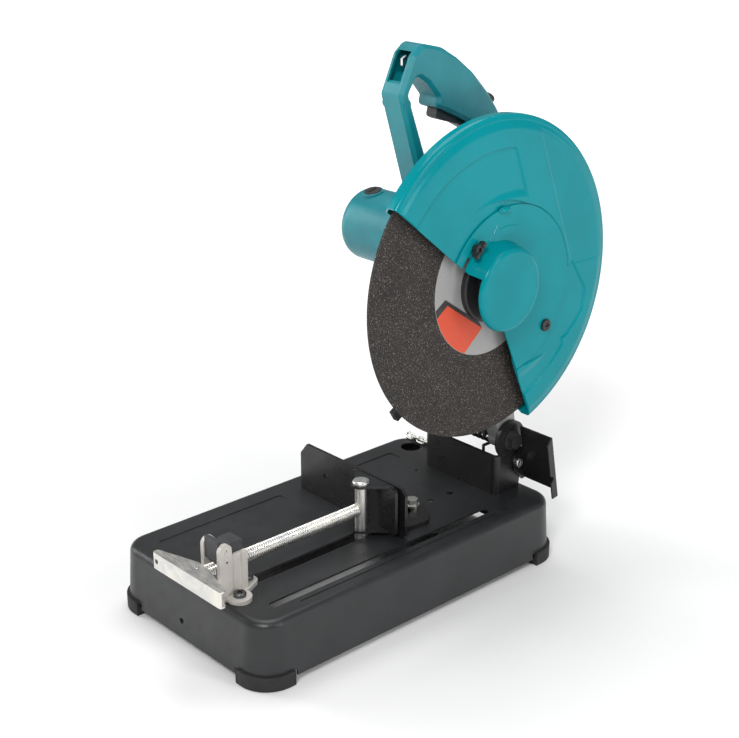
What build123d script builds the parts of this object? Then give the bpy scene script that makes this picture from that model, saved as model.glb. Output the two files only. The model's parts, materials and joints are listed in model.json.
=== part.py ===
"""Abrasive chop saw: a stamped base with a screw vise, and a hinged motor head with a 355 mm cut-off wheel.

Millimetres. +X is the operator's right, -Y the operator's side, +Z up. The origin is on the ground,
in the middle of the base. The head is modelled at its raised rest position.
"""
from build123d import *
import math
import os

# ---------------------------------------------------------------- driving dimensions

# Base: a drawn steel tub on four rubber feet
base_width = 265.0
base_length = 460.0
base_top = 78.0
base_skirt_z = 9.0
base_corner_r = 34.0
base_draft = 4.2
base_rim_r = 8.5
sheet = 2.0
foot_wrap = 8.0
foot_stand_out = 3.0
foot_reach = 42.0
guide_bolt_r = 4.0
pedestal_bolt_r = 4.0
spare_x = 35.2
spare_middle_y = 121.8
spare_spacing = 32.6
ground_hole = (-37.9, 153.0)

# Head hinge
pivot_from_rear = 33.0
pivot_height = 67.0
pivot_bolt_r = 6.0
ear_gap_left = -39.0
ear_gap_right = 73.0
ear_thickness = 5.0
ear_r = 23.5
web_height = 50.0
web_depth = 25.0
pedestal_rear = 16.0
pedestal_bend = 8.0
pivot_washer_r = 12.4
pivot_washer = 2.0
boss_r = 14.5
bush_r = 8.0
leg_half = 14.0
neck_rise = 92.0
stop_thickness = 8.0
stop_width = 14.0
stop_screw_r = 3.0
stop_from_pivot = 67.0

# Spark guard
spark_screw_r = 3.0
spark_tilt = 11.0
spark_sheet = 2.0
spark_width = 52.0
spark_flange = 9.0

# Cut-off wheel, guard and the swing of the head
wheel_radius = 177.5
wheel_thickness = 3.0
wheel_bore_r = 12.7
wheel_x = 97.0
guard_gap = 10.5
guard_sheet = 1.8
guard_back_x = 84.0
guard_front_x = 111.0
guard_to_pivot = 41.0
rest_angle = 108.6
wheel_ground_gap = 20.0
opening_front_angle = 142.5
opening_rear_angle = -68.0
guard_front_round = 6.0
guard_back_bevel = 13.0
cover_r = 98.0
cover_dy = 20.0
cover_dz = -10.5
boss_top_x = 135.0
boss_top_r = 46.0
boss_foot_r = 52.0
cover_sheet = 1.8
opening_point = (-6.0, -10.0)
cover_screw_r = 3.0
wing_r = 3.0

# Spindle, gears and rotor
flange_r = 42.5
inner_flange_thickness = 8.5
outer_flange_thickness = 7.5
label_r = 82.0
label_thickness = 0.4
spindle_r = 10.0
spindle_shoulder_r = 12.0
spindle_tail_r = 6.0
gear_module = 1.5
gear_teeth = 53
pinion_teeth = 14
gear_backlash = 0.3
gear_width = 16.0
motor_direction = 10.2
rotor_shaft_r = 5.0
motor_r = 44.5
motor_wall = 3.2
motor_end_x = -160.0
brush_angle = 103.0
brush_x = -131.0
case_screw_r = 2.6
lock_x = 62.0
lock_pin_r = 2.5
lock_button_r = 5.5
lock_travel = 4.0
gear_x0 = 27.0
gear_seat_r = 9.0
wheel_bolt_r = 5.0
motor_flange = 6.0
brush_hole_r = 9.0
brush_ring_r = 13.0
cord_x = -107.0
cord_hole_r = 6.0
cord_r = 3.5
cord_angle = -20.0
bearing_big = (23.5, 14.0)
bearing_tail = (16.0, 10.0)
bearing_rotor = (17.5, 11.0)
bearing_rotor_end = (13.0, 8.0)
tail_bearing_x = 5.0
rotor_bearing_x = 2.0
guard_screw_angles = (75, 165, 255, 345)

# Handle
handle_x = 20.0
handle_half_width = 17.0
handle_wall = 3.2
handle_chamfer = 4.0
handle_screw_head_r = 4.0
trigger_half = 7.4
trigger_pin_r = 2.0
lock_button_size = 7.0
trigger_pivot = (44.0, 162.0)
lock_place_at = (72.0, 179.5)
lock_tilt = 38.5
handle_screw_r = 2.0
tenon_top = 76.0
tenon_half = 10.5
hook_place = (-53.0, 238.5)

# Vise
vise_x = 42.0
vise_axis_z = 111.0
vise_pin_y = -13.0
vise_pin_r = 7.0
vise_screw_r = 7.4
vise_plate_width = 77.0
vise_plate_height = 58.5
vise_slot_width = 16.0
vise_pin_to_face = 21.0
plate_thickness = 4.0
crank_length = 118.0
crank_y = -256.0
crank_web_height = 15.0
guide_face_y = 14.0
guide_left_x = -96.0
guide_right_x = 86.0
guide_height = 61.0
guide_pivot_y = 45.0
guide_slot_r = 46.0
guide_swing = 45.0
bracket_front = 6.0
bracket_length = 36.0
lobe_r = 13.0
lobe_from_wall = 7.2
lobe_from_front = 19.0
guide_foot = 4.5
crank_pin_r = 2.0
crank_sheet = 2.0
bracket_wall = 5.0
bracket_gap = 11.5
bracket_top = 63.0
bracket_foot = 5.0
lever_pin_r = 2.4

# Clearances
running_fit = 0.04
free_gap = 0.4
screw_gap = 0.15

# ---------------------------------------------------------------- positions that follow from them

pivot_y = base_length / 2 - pivot_from_rear
pivot_z = base_top + pivot_height
guard_r = wheel_radius + guard_gap
swing_radius = guard_r + guard_to_pivot
axle_y = pivot_y + swing_radius * math.cos(math.radians(rest_angle))
axle_z = pivot_z + swing_radius * math.sin(math.radians(rest_angle))
lowest_rise = (wheel_radius + wheel_ground_gap - pivot_z) / swing_radius
drop_angle = 180.0 - rest_angle - math.degrees(math.asin(lowest_rise))

gear_centres = (gear_teeth + pinion_teeth) * gear_module / 2
motor_y = axle_y + gear_centres * math.cos(math.radians(motor_direction))
motor_z = axle_z + gear_centres * math.sin(math.radians(motor_direction))

wheel_back_x = wheel_x - wheel_thickness / 2
wheel_front_x = wheel_x + wheel_thickness / 2
ear_left_x = ear_gap_left - ear_thickness
ear_right_x = ear_gap_right + ear_thickness

case_x0 = 0.0
case_x1 = 50.0
nose_x1 = guard_back_x
case_spindle_r = 47.0
case_motor_r = 45.0
case_wall = 4.2
nose_r = 33.0
nose_flange_r = 46.0
guard_lug_r = 6.5
guard_screw_circle = 50.0
boss_right = (54.0, ear_gap_right - free_gap)
boss_left = (ear_gap_left + free_gap, -21.0)
big_bearing_x = nose_x1 - 18.0
rear_seat_x = motor_end_x + 8.0
cover_front_x = guard_front_x + 0.4

parts = {}


# ---------------------------------------------------------------- shape helpers

def block(x0, x1, y0, y1, z0, z1):
    """Box between two corners."""
    return Pos((x0 + x1) / 2, (y0 + y1) / 2, (z0 + z1) / 2) * Box(x1 - x0, y1 - y0, z1 - z0)


def rod_x(y, z, r, x0, x1):
    """Cylinder along X."""
    return Pos((x0 + x1) / 2, y, z) * Rot(0, 90, 0) * Cylinder(r, x1 - x0)


def rod_y(x, z, r, y0, y1):
    """Cylinder along Y."""
    return Pos(x, (y0 + y1) / 2, z) * Rot(90, 0, 0) * Cylinder(r, y1 - y0)


def rod_z(x, y, r, z0, z1):
    """Cylinder along Z."""
    return Pos(x, y, (z0 + z1) / 2) * Cylinder(r, z1 - z0)


def ring_x(y, z, r_out, r_in, x0, x1):
    """Tube along X."""
    return rod_x(y, z, r_out, x0, x1) - rod_x(y, z, r_in, x0 - 1, x1 + 1)


def ring_z(x, y, r_out, r_in, z0, z1):
    """Tube along Z."""
    return rod_z(x, y, r_out, z0, z1) - rod_z(x, y, r_in, z0 - 1, z1 + 1)


def outline(points, radius=0):
    """Closed face in a plane, its corners rounded when a radius, or one for each corner, is given."""
    if radius:
        return make_face(FilletPolyline(*points, radius=radius, close=True))
    return make_face(Polyline(*points, close=True))


def slab_x(points, x0, x1, radius=0):
    """Outline in Y and Z, extruded along X."""
    return extrude(Plane.YZ.offset(x0) * outline(points, radius), x1 - x0)


def slab_y(points, y0, y1, radius=0):
    """Outline in X and Z, extruded along Y."""
    return extrude(Plane.XZ.offset(-y1) * outline(points, radius), y1 - y0)


def slab_z(points, z0, z1, radius=0):
    """Outline in X and Y, extruded along Z."""
    return extrude(Plane.XY.offset(z0) * outline(points, radius), z1 - z0)


def at(point, direction, shape):
    """Shape made along +Z, moved so that its origin is at point and its Z along direction."""
    return Plane(origin=point, z_dir=direction) * shape


def swing(shape, degrees):
    """Shape turned with the head about its hinge."""
    return shape.rotate(Axis((0, pivot_y, pivot_z), (1, 0, 0)), degrees)


def polar(angle, radius, y=None, z=None):
    """Point at an angle and radius about the spindle, or about another centre."""
    y = axle_y if y is None else y
    z = axle_z if z is None else z
    return (y + radius * math.cos(math.radians(angle)), z + radius * math.sin(math.radians(angle)))


def hex_bolt(r, length, across, head, washer_r=0.0, washer=0.0):
    """Hexagon bolt: its head above z = 0, its shank below, with a washer face under the head if given."""
    shape = Pos(0, 0, -length / 2) * Cylinder(r, length)
    shape += extrude(RegularPolygon(across / 2, 6, major_radius=False), head + washer)
    if washer:
        shape += Pos(0, 0, washer / 2) * Cylinder(washer_r, washer)
    return shape


def cap_screw(r, length, head_r, head):
    """Round-headed screw with a cross recess: its head above z = 0, its shank below."""
    shape = Pos(0, 0, -length / 2) * Cylinder(r, length)
    shape += fillet(
        (Pos(0, 0, head / 2) * Cylinder(head_r, head)).edges().group_by(Axis.Z)[-1], head * 0.35
    )
    for turn in (0, 90):
        shape -= Pos(0, 0, head) * Rot(0, 0, turn) * Box(head_r * 1.1, head_r * 0.25, head * 0.9)
    return shape


def group(*shapes):
    """Separate solids kept in one node."""
    solids = [solid for shape in shapes for solid in shape.solids()]
    return Compound(children=solids)


# ---------------------------------------------------------------- base

def tub(inset, z0, z1):
    """Tapered block of the base's outer shape, drawn in on every side by inset."""
    def level(z):
        drawn = 2 * inset + 2 * base_draft * (z - base_skirt_z) / (base_top - base_skirt_z)
        shape = RectangleRounded(base_width - drawn, base_length - drawn, base_corner_r - drawn / 2)
        return Plane.XY.offset(z) * shape
    return loft([level(z0), level(z1)])


def wheel_slot():
    """Middle and length of the slot that the wheel drops into."""
    low_y = pivot_y + swing_radius * math.cos(math.radians(rest_angle + drop_angle))
    low_z = pivot_z + swing_radius * math.sin(math.radians(rest_angle + drop_angle))
    half_chord = math.sqrt(wheel_radius ** 2 - (low_z - base_top) ** 2)
    end_margin = 33.0
    return low_y, 2 * (half_chord + end_margin)


def panel(x0, x1, y0, y1, depth):
    """Rounded recess in the base's top."""
    points = [(x0, y0), (x1, y0), (x1, y1), (x0, y1)]
    return slab_z(points, base_top - depth, base_top + 1, radius=5)


def make_base():
    """Drawn steel tub, open underneath."""
    outer = tub(0, base_skirt_z, base_top)
    outer = fillet(outer.edges().group_by(Axis.Z)[-1], base_rim_r)
    inner = tub(sheet, base_skirt_z, base_top - sheet)
    inner = fillet(inner.edges().group_by(Axis.Z)[-1], base_rim_r - sheet)
    shell = outer - inner
    slot_y, slot_length = wheel_slot()
    slot_width = wheel_thickness + 8.0
    cut = Pos(wheel_x, slot_y, base_top) * Rot(0, 0, 90)
    shell -= cut * extrude(SlotOverall(slot_length, slot_width), 3 * sheet, both=True)
    vise_slot_front = -base_length / 2 + 58.0
    vise_slot_rear = vise_pin_y + 16.0
    middle = (vise_slot_front + vise_slot_rear) / 2
    cut = Pos(vise_x, middle, base_top) * Rot(0, 0, 90)
    length = vise_slot_rear - vise_slot_front
    shell -= cut * extrude(SlotOverall(length, vise_slot_width), 3 * sheet, both=True)
    left = -base_width / 2 + 34.0
    panel_depth = 0.9
    shell -= panel(left, left + 21, slot_y - slot_length / 2 - 5, -17, panel_depth)
    shell -= panel(left, left + 21, 55, pivot_y - 32, panel_depth)
    groove = Pos(wheel_x + 14, 0, base_top) * Rot(0, 0, 90)
    shell -= groove * extrude(SlotOverall(slot_length - 8, 3), panel_depth, both=True)
    shell -= rod_z(left + 5, pivot_y, 13, base_top - 3 * sheet, base_top + 1)
    for x, y in guide_bolt_places() + spare_holes() + bracket_screw_places():
        shell -= rod_z(x, y, guide_bolt_r + screw_gap, base_top - 3 * sheet, base_top + 1)
    for x, y in pedestal_bolt_places():
        shell -= rod_z(x, y, pedestal_bolt_r + screw_gap, base_top - 3 * sheet, base_top + 1)
    shell -= rod_y(-9, 29, 3.4, -base_length, 0)
    shell -= rod_z(*ground_hole, 2.2, base_top - 3 * sheet, base_top + 1)
    notch_width = 5.0
    notch_top = base_skirt_z + foot_wrap - 1
    for side in (-1, 1):
        for end in (-1, 1):
            x = side * (base_width / 2 - foot_reach - notch_width / 2)
            y = end * (base_length / 2 - foot_reach - notch_width / 2)
            wide = notch_width / 2
            ends = sorted((end * (base_length / 2 - 12), end * base_length / 2))
            sides = sorted((side * (base_width / 2 - 12), side * base_width / 2))
            shell -= block(x - wide, x + wide, *ends, base_skirt_z, notch_top)
            shell -= block(*sides, y - wide, y + wide, base_skirt_z, notch_top)
    return shell


def make_feet():
    """Rubber corners that wrap the base's lower edge."""
    top = base_skirt_z + foot_wrap
    lip = 8.0
    outer_size = (base_width + 2 * foot_stand_out, base_length + 2 * foot_stand_out)
    outer = extrude(RectangleRounded(*outer_size, base_corner_r + foot_stand_out), top)
    outer = fillet(outer.edges().group_by(Axis.Z)[0], 1.5)
    core = (base_width - 2 * sheet - 2 * lip, base_length - 2 * sheet - 2 * lip)
    hollow = extrude(RectangleRounded(*core, base_corner_r - sheet - lip), top)
    channel = tub(0, base_skirt_z, base_top)
    rim = outer - hollow - channel
    feet = []
    for side in (-1, 1):
        for end in (-1, 1):
            xs = sorted((side * (base_width / 2 - foot_reach), side * base_width))
            ys = sorted((end * (base_length / 2 - foot_reach), end * base_length))
            feet.append(rim & block(*xs, *ys, 0, top))
    return group(*feet)


def pedestal_bolt_places():
    """Centres of the bolts that hold the pedestal down."""
    return [(x, pivot_y + dy) for x in (-22.0, 56.0) for dy in (-8.0, 8.0)]


def guide_bolt_places():
    """The guide's pivot bolt and its slot bolt."""
    angle = math.radians(38.0)
    pivot = (0.0, guide_pivot_y)
    slot = (guide_slot_r * math.cos(angle), guide_pivot_y + guide_slot_r * math.sin(angle))
    return [pivot, slot]


def spare_holes():
    """Second and third places for the guide's bolts, in line behind it."""
    return [(spare_x, spare_middle_y - spare_spacing / 2), (spare_x, spare_middle_y + spare_spacing / 2)]


# ---------------------------------------------------------------- pedestal and hinge


def pedestal_ear(x0, x1):
    """Ear of the pedestal: a plate with a round top about the hinge."""
    front = pivot_y - web_depth + pedestal_bend
    rear = pivot_y + pedestal_rear
    plate = [
        (front, base_top), (front, base_top + web_height), (pivot_y - 0.93 * ear_r, pivot_z),
        (pivot_y + 0.93 * ear_r, pivot_z), (rear + 5, base_top + 34), (rear, base_top),
    ]
    return slab_x(plate, x0, x1) + rod_x(pivot_y, pivot_z, ear_r, x0, x1)


def make_pedestal():
    """U-shaped bracket: front web, two ears and a floor."""
    front = pivot_y - web_depth
    rear = pivot_y + pedestal_rear - 4
    bend = pedestal_bend
    web_top = base_top + web_height
    plan = [(ear_left_x, rear), (ear_left_x, front), (ear_right_x, front), (ear_right_x, rear)]
    inside = [(ear_gap_left, rear + 1), (ear_gap_left, front + ear_thickness),
              (ear_gap_right, front + ear_thickness), (ear_gap_right, rear + 1)]
    shape = slab_z(plan, base_top, web_top, radius=[0.5, bend, bend, 0.5])
    inner_bend = bend - ear_thickness
    shape -= slab_z(inside, base_top - 1, web_top + 1, radius=[0.5, inner_bend, inner_bend, 0.5])
    for x0, x1 in ((ear_left_x, ear_gap_left), (ear_gap_right, ear_right_x)):
        shape += pedestal_ear(x0, x1)
    floor_top = base_top + ear_thickness
    shape += block(ear_gap_left - 1, ear_gap_right + 1, front + 2, rear - 1, base_top, floor_top)
    shape -= rod_x(pivot_y, pivot_z, pivot_bolt_r + screw_gap, ear_left_x - 1, ear_right_x + 1)
    for x, y in pedestal_bolt_places():
        shape -= rod_z(x, y, pedestal_bolt_r + screw_gap, base_top - 1, base_top + 2 * ear_thickness)
    y, z = spark_hinge()
    shape -= rod_x(y, z, spark_screw_r + screw_gap, ear_gap_right - 1, ear_right_x + 1)
    return shape


def pedestal_bolts():
    """Four bolts with their nuts under the base's top."""
    floor = base_top + ear_thickness
    bolts = []
    for x, y in pedestal_bolt_places():
        bolts.append(at((x, y, floor), (0, 0, 1), hex_bolt(pedestal_bolt_r, 14, 13, 5)))
        nut = extrude(RegularPolygon(6.5, 6, major_radius=False), 5)
        nut -= Cylinder(pedestal_bolt_r, 30)
        bolts.append(at((x, y, base_top - sheet), (0, 0, -1), nut))
    return group(*bolts)


def make_pivot():
    """Axle bolt with its head on the right, its nut on the left, and a washer at each side."""
    right = ear_right_x + pivot_washer
    left = ear_left_x - pivot_washer
    nut_height = 10.0
    length = right - left + nut_height + 3
    bolt = hex_bolt(pivot_bolt_r, length, 18, 7.5)
    parts["pivot_bolt"] = at((right, pivot_y, pivot_z), (1, 0, 0), bolt)
    nut = extrude(RegularPolygon(9, 6, major_radius=False), nut_height) - Cylinder(pivot_bolt_r, 50)
    parts["pivot_nut"] = at((left, pivot_y, pivot_z), (-1, 0, 0), nut)
    parts["pivot_washers"] = group(
        ring_x(pivot_y, pivot_z, pivot_washer_r, pivot_bolt_r, ear_right_x, right),
        ring_x(pivot_y, pivot_z, pivot_washer_r, pivot_bolt_r, left, ear_left_x),
    )
    bushes = []
    for x0, x1 in (boss_left, boss_right):
        bushes.append(ring_x(pivot_y, pivot_z, bush_r, pivot_bolt_r + running_fit, x0, x1))
    parts["arm_bushes"] = group(*bushes)


def make_spring():
    """Torsion spring round the axle, one leg resting on the web."""
    wire = 1.9
    coil_r = pivot_bolt_r + 5.5
    x0 = boss_left[1] + wire + 2
    x1 = boss_right[0] - wire - 2
    turns = 9
    pitch = (x1 - x0) / turns
    helix = Helix(pitch, x1 - x0, coil_r)
    section = Plane(origin=helix @ 0, z_dir=helix % 0) * Circle(wire)
    coil = sweep(section, path=helix, is_frenet=True)
    shape = at((x0, pivot_y, pivot_z), (1, 0, 0), coil)
    leg_y = pivot_y - web_depth + ear_thickness + wire + 0.3
    leg_z = pivot_z - coil_r
    shape += rod_y(x1, leg_z, wire, leg_y, pivot_y)
    shape += rod_z(x1, leg_y, wire, base_top + web_height - 14, leg_z)
    shape += Pos(x1, leg_y, leg_z) * Sphere(wire)
    return shape


# ---------------------------------------------------------------- spark guard


def spark_hinge():
    """Place of the spark guard's screw on the pedestal's right ear."""
    return pivot_y + 11.5, base_top + 34.0


def make_spark_guard():
    """Bent plate behind the wheel, tilted about its screw."""
    y, z = spark_hinge()
    x0 = ear_right_x + free_gap
    rear = y + 11.0
    bottom = z - 26.0
    top = z + 47.0
    tab = [(y - 8, z - 8), (y - 8, z + 9), (y + 3, z + 15), (rear, z + 16), (rear, bottom),
           (y + 4, bottom)]
    shape = slab_x(tab, x0, x0 + spark_sheet)
    shape += block(x0, x0 + spark_width, rear - spark_sheet, rear, bottom, top)
    clear = pivot_washer + 2 * free_gap
    shape -= block(x0 - 1, x0 + clear, rear - spark_sheet - 1, rear + 1, z + 16, top + 1)
    lip_y = rear - spark_flange
    lip = [(rear, top), (lip_y, top - 9), (lip_y, bottom - 9), (rear, bottom - 9)]
    side = slab_x(lip, x0 + spark_width - spark_sheet, x0 + spark_width)
    side -= rod_x(lip_y, z - 8, 4.5, x0, x0 + spark_width + 1)
    shape += side
    shape -= rod_x(y, z, spark_screw_r + screw_gap, x0 - 1, x0 + 10)
    shape = shape.rotate(Axis((0, y, z), (1, 0, 0)), spark_tilt)
    parts["spark_guard"] = shape
    screw = cap_screw(spark_screw_r, ear_thickness + spark_sheet + free_gap + 4, 5.5, 3.5)
    parts["spark_guard_screw"] = at((x0 + spark_sheet + free_gap, y, z), (1, 0, 0), screw)


# ---------------------------------------------------------------- lock chain

def chain_link(wire, inside, width):
    """One welded link, along X, flat in XY, its middle at the origin."""
    bend_r = width / 2 + wire
    straight = inside - width
    path = Pos(0, 0, 0) * SlotCenterToCenter(straight, 2 * bend_r)
    loop = path.face().outer_wire()
    section = Plane(origin=loop @ 0, z_dir=loop % 0) * Circle(wire)
    return sweep(section, path=loop)


def make_chain():
    """Short chain that lies on the base beside the pedestal, each link turned against the next."""
    wire = 1.4
    inside = 11.0
    width = 4.2
    step = inside - 0.5
    lift = base_top + free_gap + (width / 2 + wire) * math.sin(math.radians(45)) + wire
    count = 6
    links = []
    for n in range(count):
        x = ear_left_x - pivot_washer - 14 - n * step
        link = Rot(45 if n % 2 else -45, 0, 0) * chain_link(wire, inside, width)
        links.append(Pos(x, pivot_y + 17, lift) * link)
    return group(*links)


# ---------------------------------------------------------------- guide plate


def make_guide():
    """Fence with a foot that turns about its pivot bolt, and an arc slot for its second bolt."""
    bottom = base_top + free_gap
    top = bottom + guide_height
    chamfer_size = 14.0
    face = guide_face_y
    fence = [
        (guide_left_x, bottom), (guide_left_x, top - chamfer_size), (guide_left_x + 11, top),
        (guide_right_x - 7, top), (guide_right_x, top - 8), (guide_right_x, bottom + 4),
        (guide_right_x - 5, bottom),
    ]
    shape = slab_y(fence, face, face + plate_thickness)
    pivot, slot_bolt = guide_bolt_places()
    foot = [(-34, face), (72, face), (72, 36), (76, 62), (60, 78), (40, 88), (18, 88), (-14, 62),
            (-34, 50)]
    shape += slab_z(foot, bottom, bottom + guide_foot, radius=[0.5, 0.5, 4, 10, 10, 8, 8, 10, 10])
    shape -= rod_z(*pivot, guide_bolt_r + screw_gap, bottom - 1, bottom + guide_foot + 1)
    start = math.degrees(math.atan2(slot_bolt[1] - pivot[1], slot_bolt[0] - pivot[0]))
    slot_r = guide_bolt_r + free_gap
    foot_top = bottom + guide_foot
    arc = ring_z(*pivot, guide_slot_r + slot_r, guide_slot_r - slot_r, bottom - 1, foot_top + 1)
    reach = 3 * guide_slot_r
    low, high = math.radians(start - guide_swing), math.radians(start)
    wedge = slab_z([
        pivot,
        (pivot[0] + reach * math.cos(low), pivot[1] + reach * math.sin(low)),
        (pivot[0] + reach * math.cos(high), pivot[1] + reach * math.sin(high)),
    ], bottom - 1, bottom + guide_foot + 1)
    shape -= arc & wedge
    for angle in (low, high):
        x = pivot[0] + guide_slot_r * math.cos(angle)
        y = pivot[1] + guide_slot_r * math.sin(angle)
        shape -= rod_z(x, y, slot_r, bottom - 1, bottom + guide_foot + 1)
    shape -= rod_y(-51, bottom + 31, 3.2, face - 1, face + plate_thickness + 1)
    return shape


def guide_bolts():
    """Two hexagon bolts with wide washer faces, clamping the guide's foot."""
    level = base_top + free_gap + guide_foot + free_gap / 2
    bolt = hex_bolt(guide_bolt_r, 16, 13, 6.5, washer_r=9, washer=2.5)
    return group(*[at((x, y, level), (0, 0, 1), bolt) for x, y in guide_bolt_places()])


# ---------------------------------------------------------------- vise

def vise_plate_levels():
    """Bottom and top of the jaw plate."""
    bottom = base_top + 6.0
    return bottom, bottom + vise_plate_height


def make_vise_plate():
    """Jaw plate with an ear above and below its pin."""
    half = vise_plate_width / 2
    bottom, top = vise_plate_levels()
    face = vise_pin_y + vise_pin_to_face
    back = face - plate_thickness
    corner = 9.0
    left, right = vise_x - half, vise_x + half
    front = [(left, bottom), (right, bottom), (right, top), (left, top)]
    shape = slab_y(front, back, face, radius=[3, 3, corner, corner])
    ear = 3.0
    nose = vise_pin_r + 4.5
    for z in (bottom, top - ear):
        shape += rod_z(vise_x, vise_pin_y, nose, z, z + ear)
        triangle = [(vise_x - nose, vise_pin_y), (vise_x + nose, vise_pin_y),
                    (vise_x + half * 0.72, back), (vise_x - half * 0.72, back)]
        shape += slab_z(triangle, z, z + ear)
    shape -= rod_z(vise_x, vise_pin_y, vise_pin_r + running_fit, bottom - 1, top + 1)
    return shape


def make_vise_pin():
    """Upright pin with a domed head, cross-bored for the screw's neck."""
    bottom, top = vise_plate_levels()
    pin = rod_z(vise_x, vise_pin_y, vise_pin_r, base_top - 6, top)
    head = rod_z(vise_x, vise_pin_y, vise_pin_r + 2.6, top + running_fit, top + 4)
    head = fillet(head.edges().group_by(Axis.Z)[-1], 2.6)
    neck_r = vise_screw_r * 0.6
    shape = pin + rod_z(vise_x, vise_pin_y, vise_pin_r, top, top + 1) + head
    shape -= rod_y(vise_x, vise_axis_z, neck_r + running_fit, vise_pin_y - 20, vise_pin_y + 3)
    shape -= ring_z(vise_x, vise_pin_y, vise_pin_r + 1, vise_pin_r - 1, bottom - 1.8, bottom - 0.6)
    return shape


def make_screw():
    """Vise screw: threaded rod with a plain neck in the pin and a cross hole at the crank."""
    shape = rod_y(vise_x, vise_axis_z, vise_screw_r, crank_y + 5, vise_pin_y - vise_pin_r - 1)
    shape += rod_y(vise_x, vise_axis_z, vise_screw_r * 0.6, vise_pin_y - vise_pin_r - 1, vise_pin_y + 2)
    shape -= rod_z(vise_x, crank_pin_y(), crank_pin_r, vise_axis_z - 20, vise_axis_z + 20)
    return shape


def crank_pin_y():
    """Place of the pin that fixes the crank to the screw."""
    return crank_y + 14.5


def make_crank():
    """Pressed channel: a front web, and two flanges that widen towards the screw."""
    half = crank_length / 2
    deep = 22.0
    low = vise_axis_z - vise_screw_r - crank_sheet
    high = vise_axis_z + vise_screw_r + crank_sheet
    rear = crank_y + deep
    plan = [
        (vise_x - half, crank_y), (vise_x + half, crank_y), (vise_x + half, crank_y + 7),
        (vise_x + 9, rear), (vise_x - 9, rear), (vise_x - half, crank_y + 7),
    ]
    shape = slab_z(plan, low, high, radius=[3, 3, 3, 6, 6, 3])
    shape -= block(vise_x - crank_length, vise_x + crank_length, crank_y + crank_sheet, rear + 5,
                   low + crank_sheet, high - crank_sheet)
    shape -= rod_y(vise_x - half + 7, vise_axis_z, 3, crank_y - 1, crank_y + 5)
    shape -= rod_z(vise_x, crank_pin_y(), crank_pin_r, low - 1, high + 1)
    parts["crank_handle"] = shape
    parts["crank_pin"] = rod_z(vise_x, crank_pin_y(), crank_pin_r, low + 0.3, high + 0.6)


def bracket_y():
    """Front and rear of the bracket."""
    front = -base_length / 2 + bracket_front
    return front, front + bracket_length


def lever_hinge():
    """Hinge pin of the nut lever, in Y and Z."""
    front, _ = bracket_y()
    return front + 8, base_top + bracket_top - 6


def bracket_screw_places():
    """Two screws at the front feet and one at the rear."""
    front, rear = bracket_y()
    side = bracket_gap + bracket_wall + lobe_from_wall
    return [(vise_x - side, front + lobe_from_front), (vise_x + side, front + lobe_from_front),
            (vise_x, rear + 11)]


def make_bracket():
    """Cast bracket: two walls with tall round-topped ears, feet, and a slotted floor under the screw."""
    front, rear = bracket_y()
    hinge_y, hinge_z = lever_hinge()
    inner, outer = bracket_gap, bracket_gap + bracket_wall
    low_top = base_top + bracket_top - 13
    shape = None
    for side in (-1, 1):
        x0, x1 = sorted((vise_x + side * inner, vise_x + side * outer))
        wall = block(x0, x1, front, front + 16, base_top, hinge_z)
        wall += rod_x(hinge_y, hinge_z, 8, x0, x1)
        thin = sorted((vise_x + side * inner, vise_x + side * (outer - 2)))
        wall += block(*thin, front + 14, rear - 4, base_top, low_top)
        wall += block(x0, x1, rear - 7, rear, base_top, low_top)
        wall -= rod_x(hinge_y, hinge_z, lever_pin_r, x0 - 1, x1 + 1)
        wall -= rod_x(hinge_y + 1.5, hinge_z - 13, 1.6, x0 - 1, x1 + 1)
        shape = wall if shape is None else shape + wall
    foot = [(vise_x - outer - 2, front), (vise_x + outer + 2, front), (vise_x + outer + 2, rear),
            (vise_x + 9, rear + 20), (vise_x - 9, rear + 20), (vise_x - outer - 2, rear)]
    shape += slab_z(foot, base_top, base_top + bracket_foot, radius=[2, 2, 3, 8, 8, 3])
    for x, y in bracket_screw_places()[:2]:
        shape += rod_z(x, y, lobe_r, base_top, base_top + bracket_foot)
        inner_x = vise_x + math.copysign(outer, x - vise_x)
        shape += block(*sorted((inner_x, x)), y - lobe_r, y + lobe_r, base_top, base_top + bracket_foot)
    for x, y in bracket_screw_places():
        shape -= rod_z(x, y, guide_bolt_r + screw_gap, base_top - 1, base_top + 2 * bracket_foot)
    return shape


def bracket_screws():
    """Three cross-recessed screws."""
    level = base_top + bracket_foot
    screw = cap_screw(guide_bolt_r, 13, 6.8, 4.5)
    return group(*[at((x, y, level), (0, 0, 1), screw) for x, y in bracket_screw_places()])


def lever_pin():
    """Hinge pin across the bracket's ears."""
    outer = bracket_gap + bracket_wall - 1.5
    return rod_x(*lever_hinge(), lever_pin_r, vise_x - outer, vise_x + outer)


def make_nut_lever():
    """Quick-release lever: thumb plate in front, hub on the hinge pin, grip block and half nut behind."""
    hinge_y, hinge_z = lever_hinge()
    half = bracket_gap - free_gap
    plate_top = hinge_z + 12
    shape = rod_x(hinge_y, hinge_z, 6.5, vise_x - half, vise_x + half)
    shape += slab_x([(hinge_y - 6.5, hinge_z - 13), (hinge_y - 2.5, hinge_z - 13),
                     (hinge_y - 2.5, plate_top), (hinge_y - 6.5, plate_top - 1)],
                    vise_x - half, vise_x + half)
    grip = half - 1.5
    shape += slab_x([(hinge_y, hinge_z - 6), (hinge_y + 25, hinge_z - 15), (hinge_y + 25, hinge_z + 5),
                     (hinge_y + 11, hinge_z + 5), (hinge_y + 3, hinge_z + 1)],
                    vise_x - grip, vise_x + half)
    shape += block(vise_x - half, vise_x + half, hinge_y + 3, hinge_y + 23, vise_axis_z, hinge_z - 8)
    shape -= rod_y(vise_x, vise_axis_z, vise_screw_r + 0.3, hinge_y - 30, hinge_y + 40)
    shape -= rod_x(hinge_y, hinge_z, lever_pin_r + running_fit, vise_x - 30, vise_x + 30)
    return shape


# ---------------------------------------------------------------- arm and gear case

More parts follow.
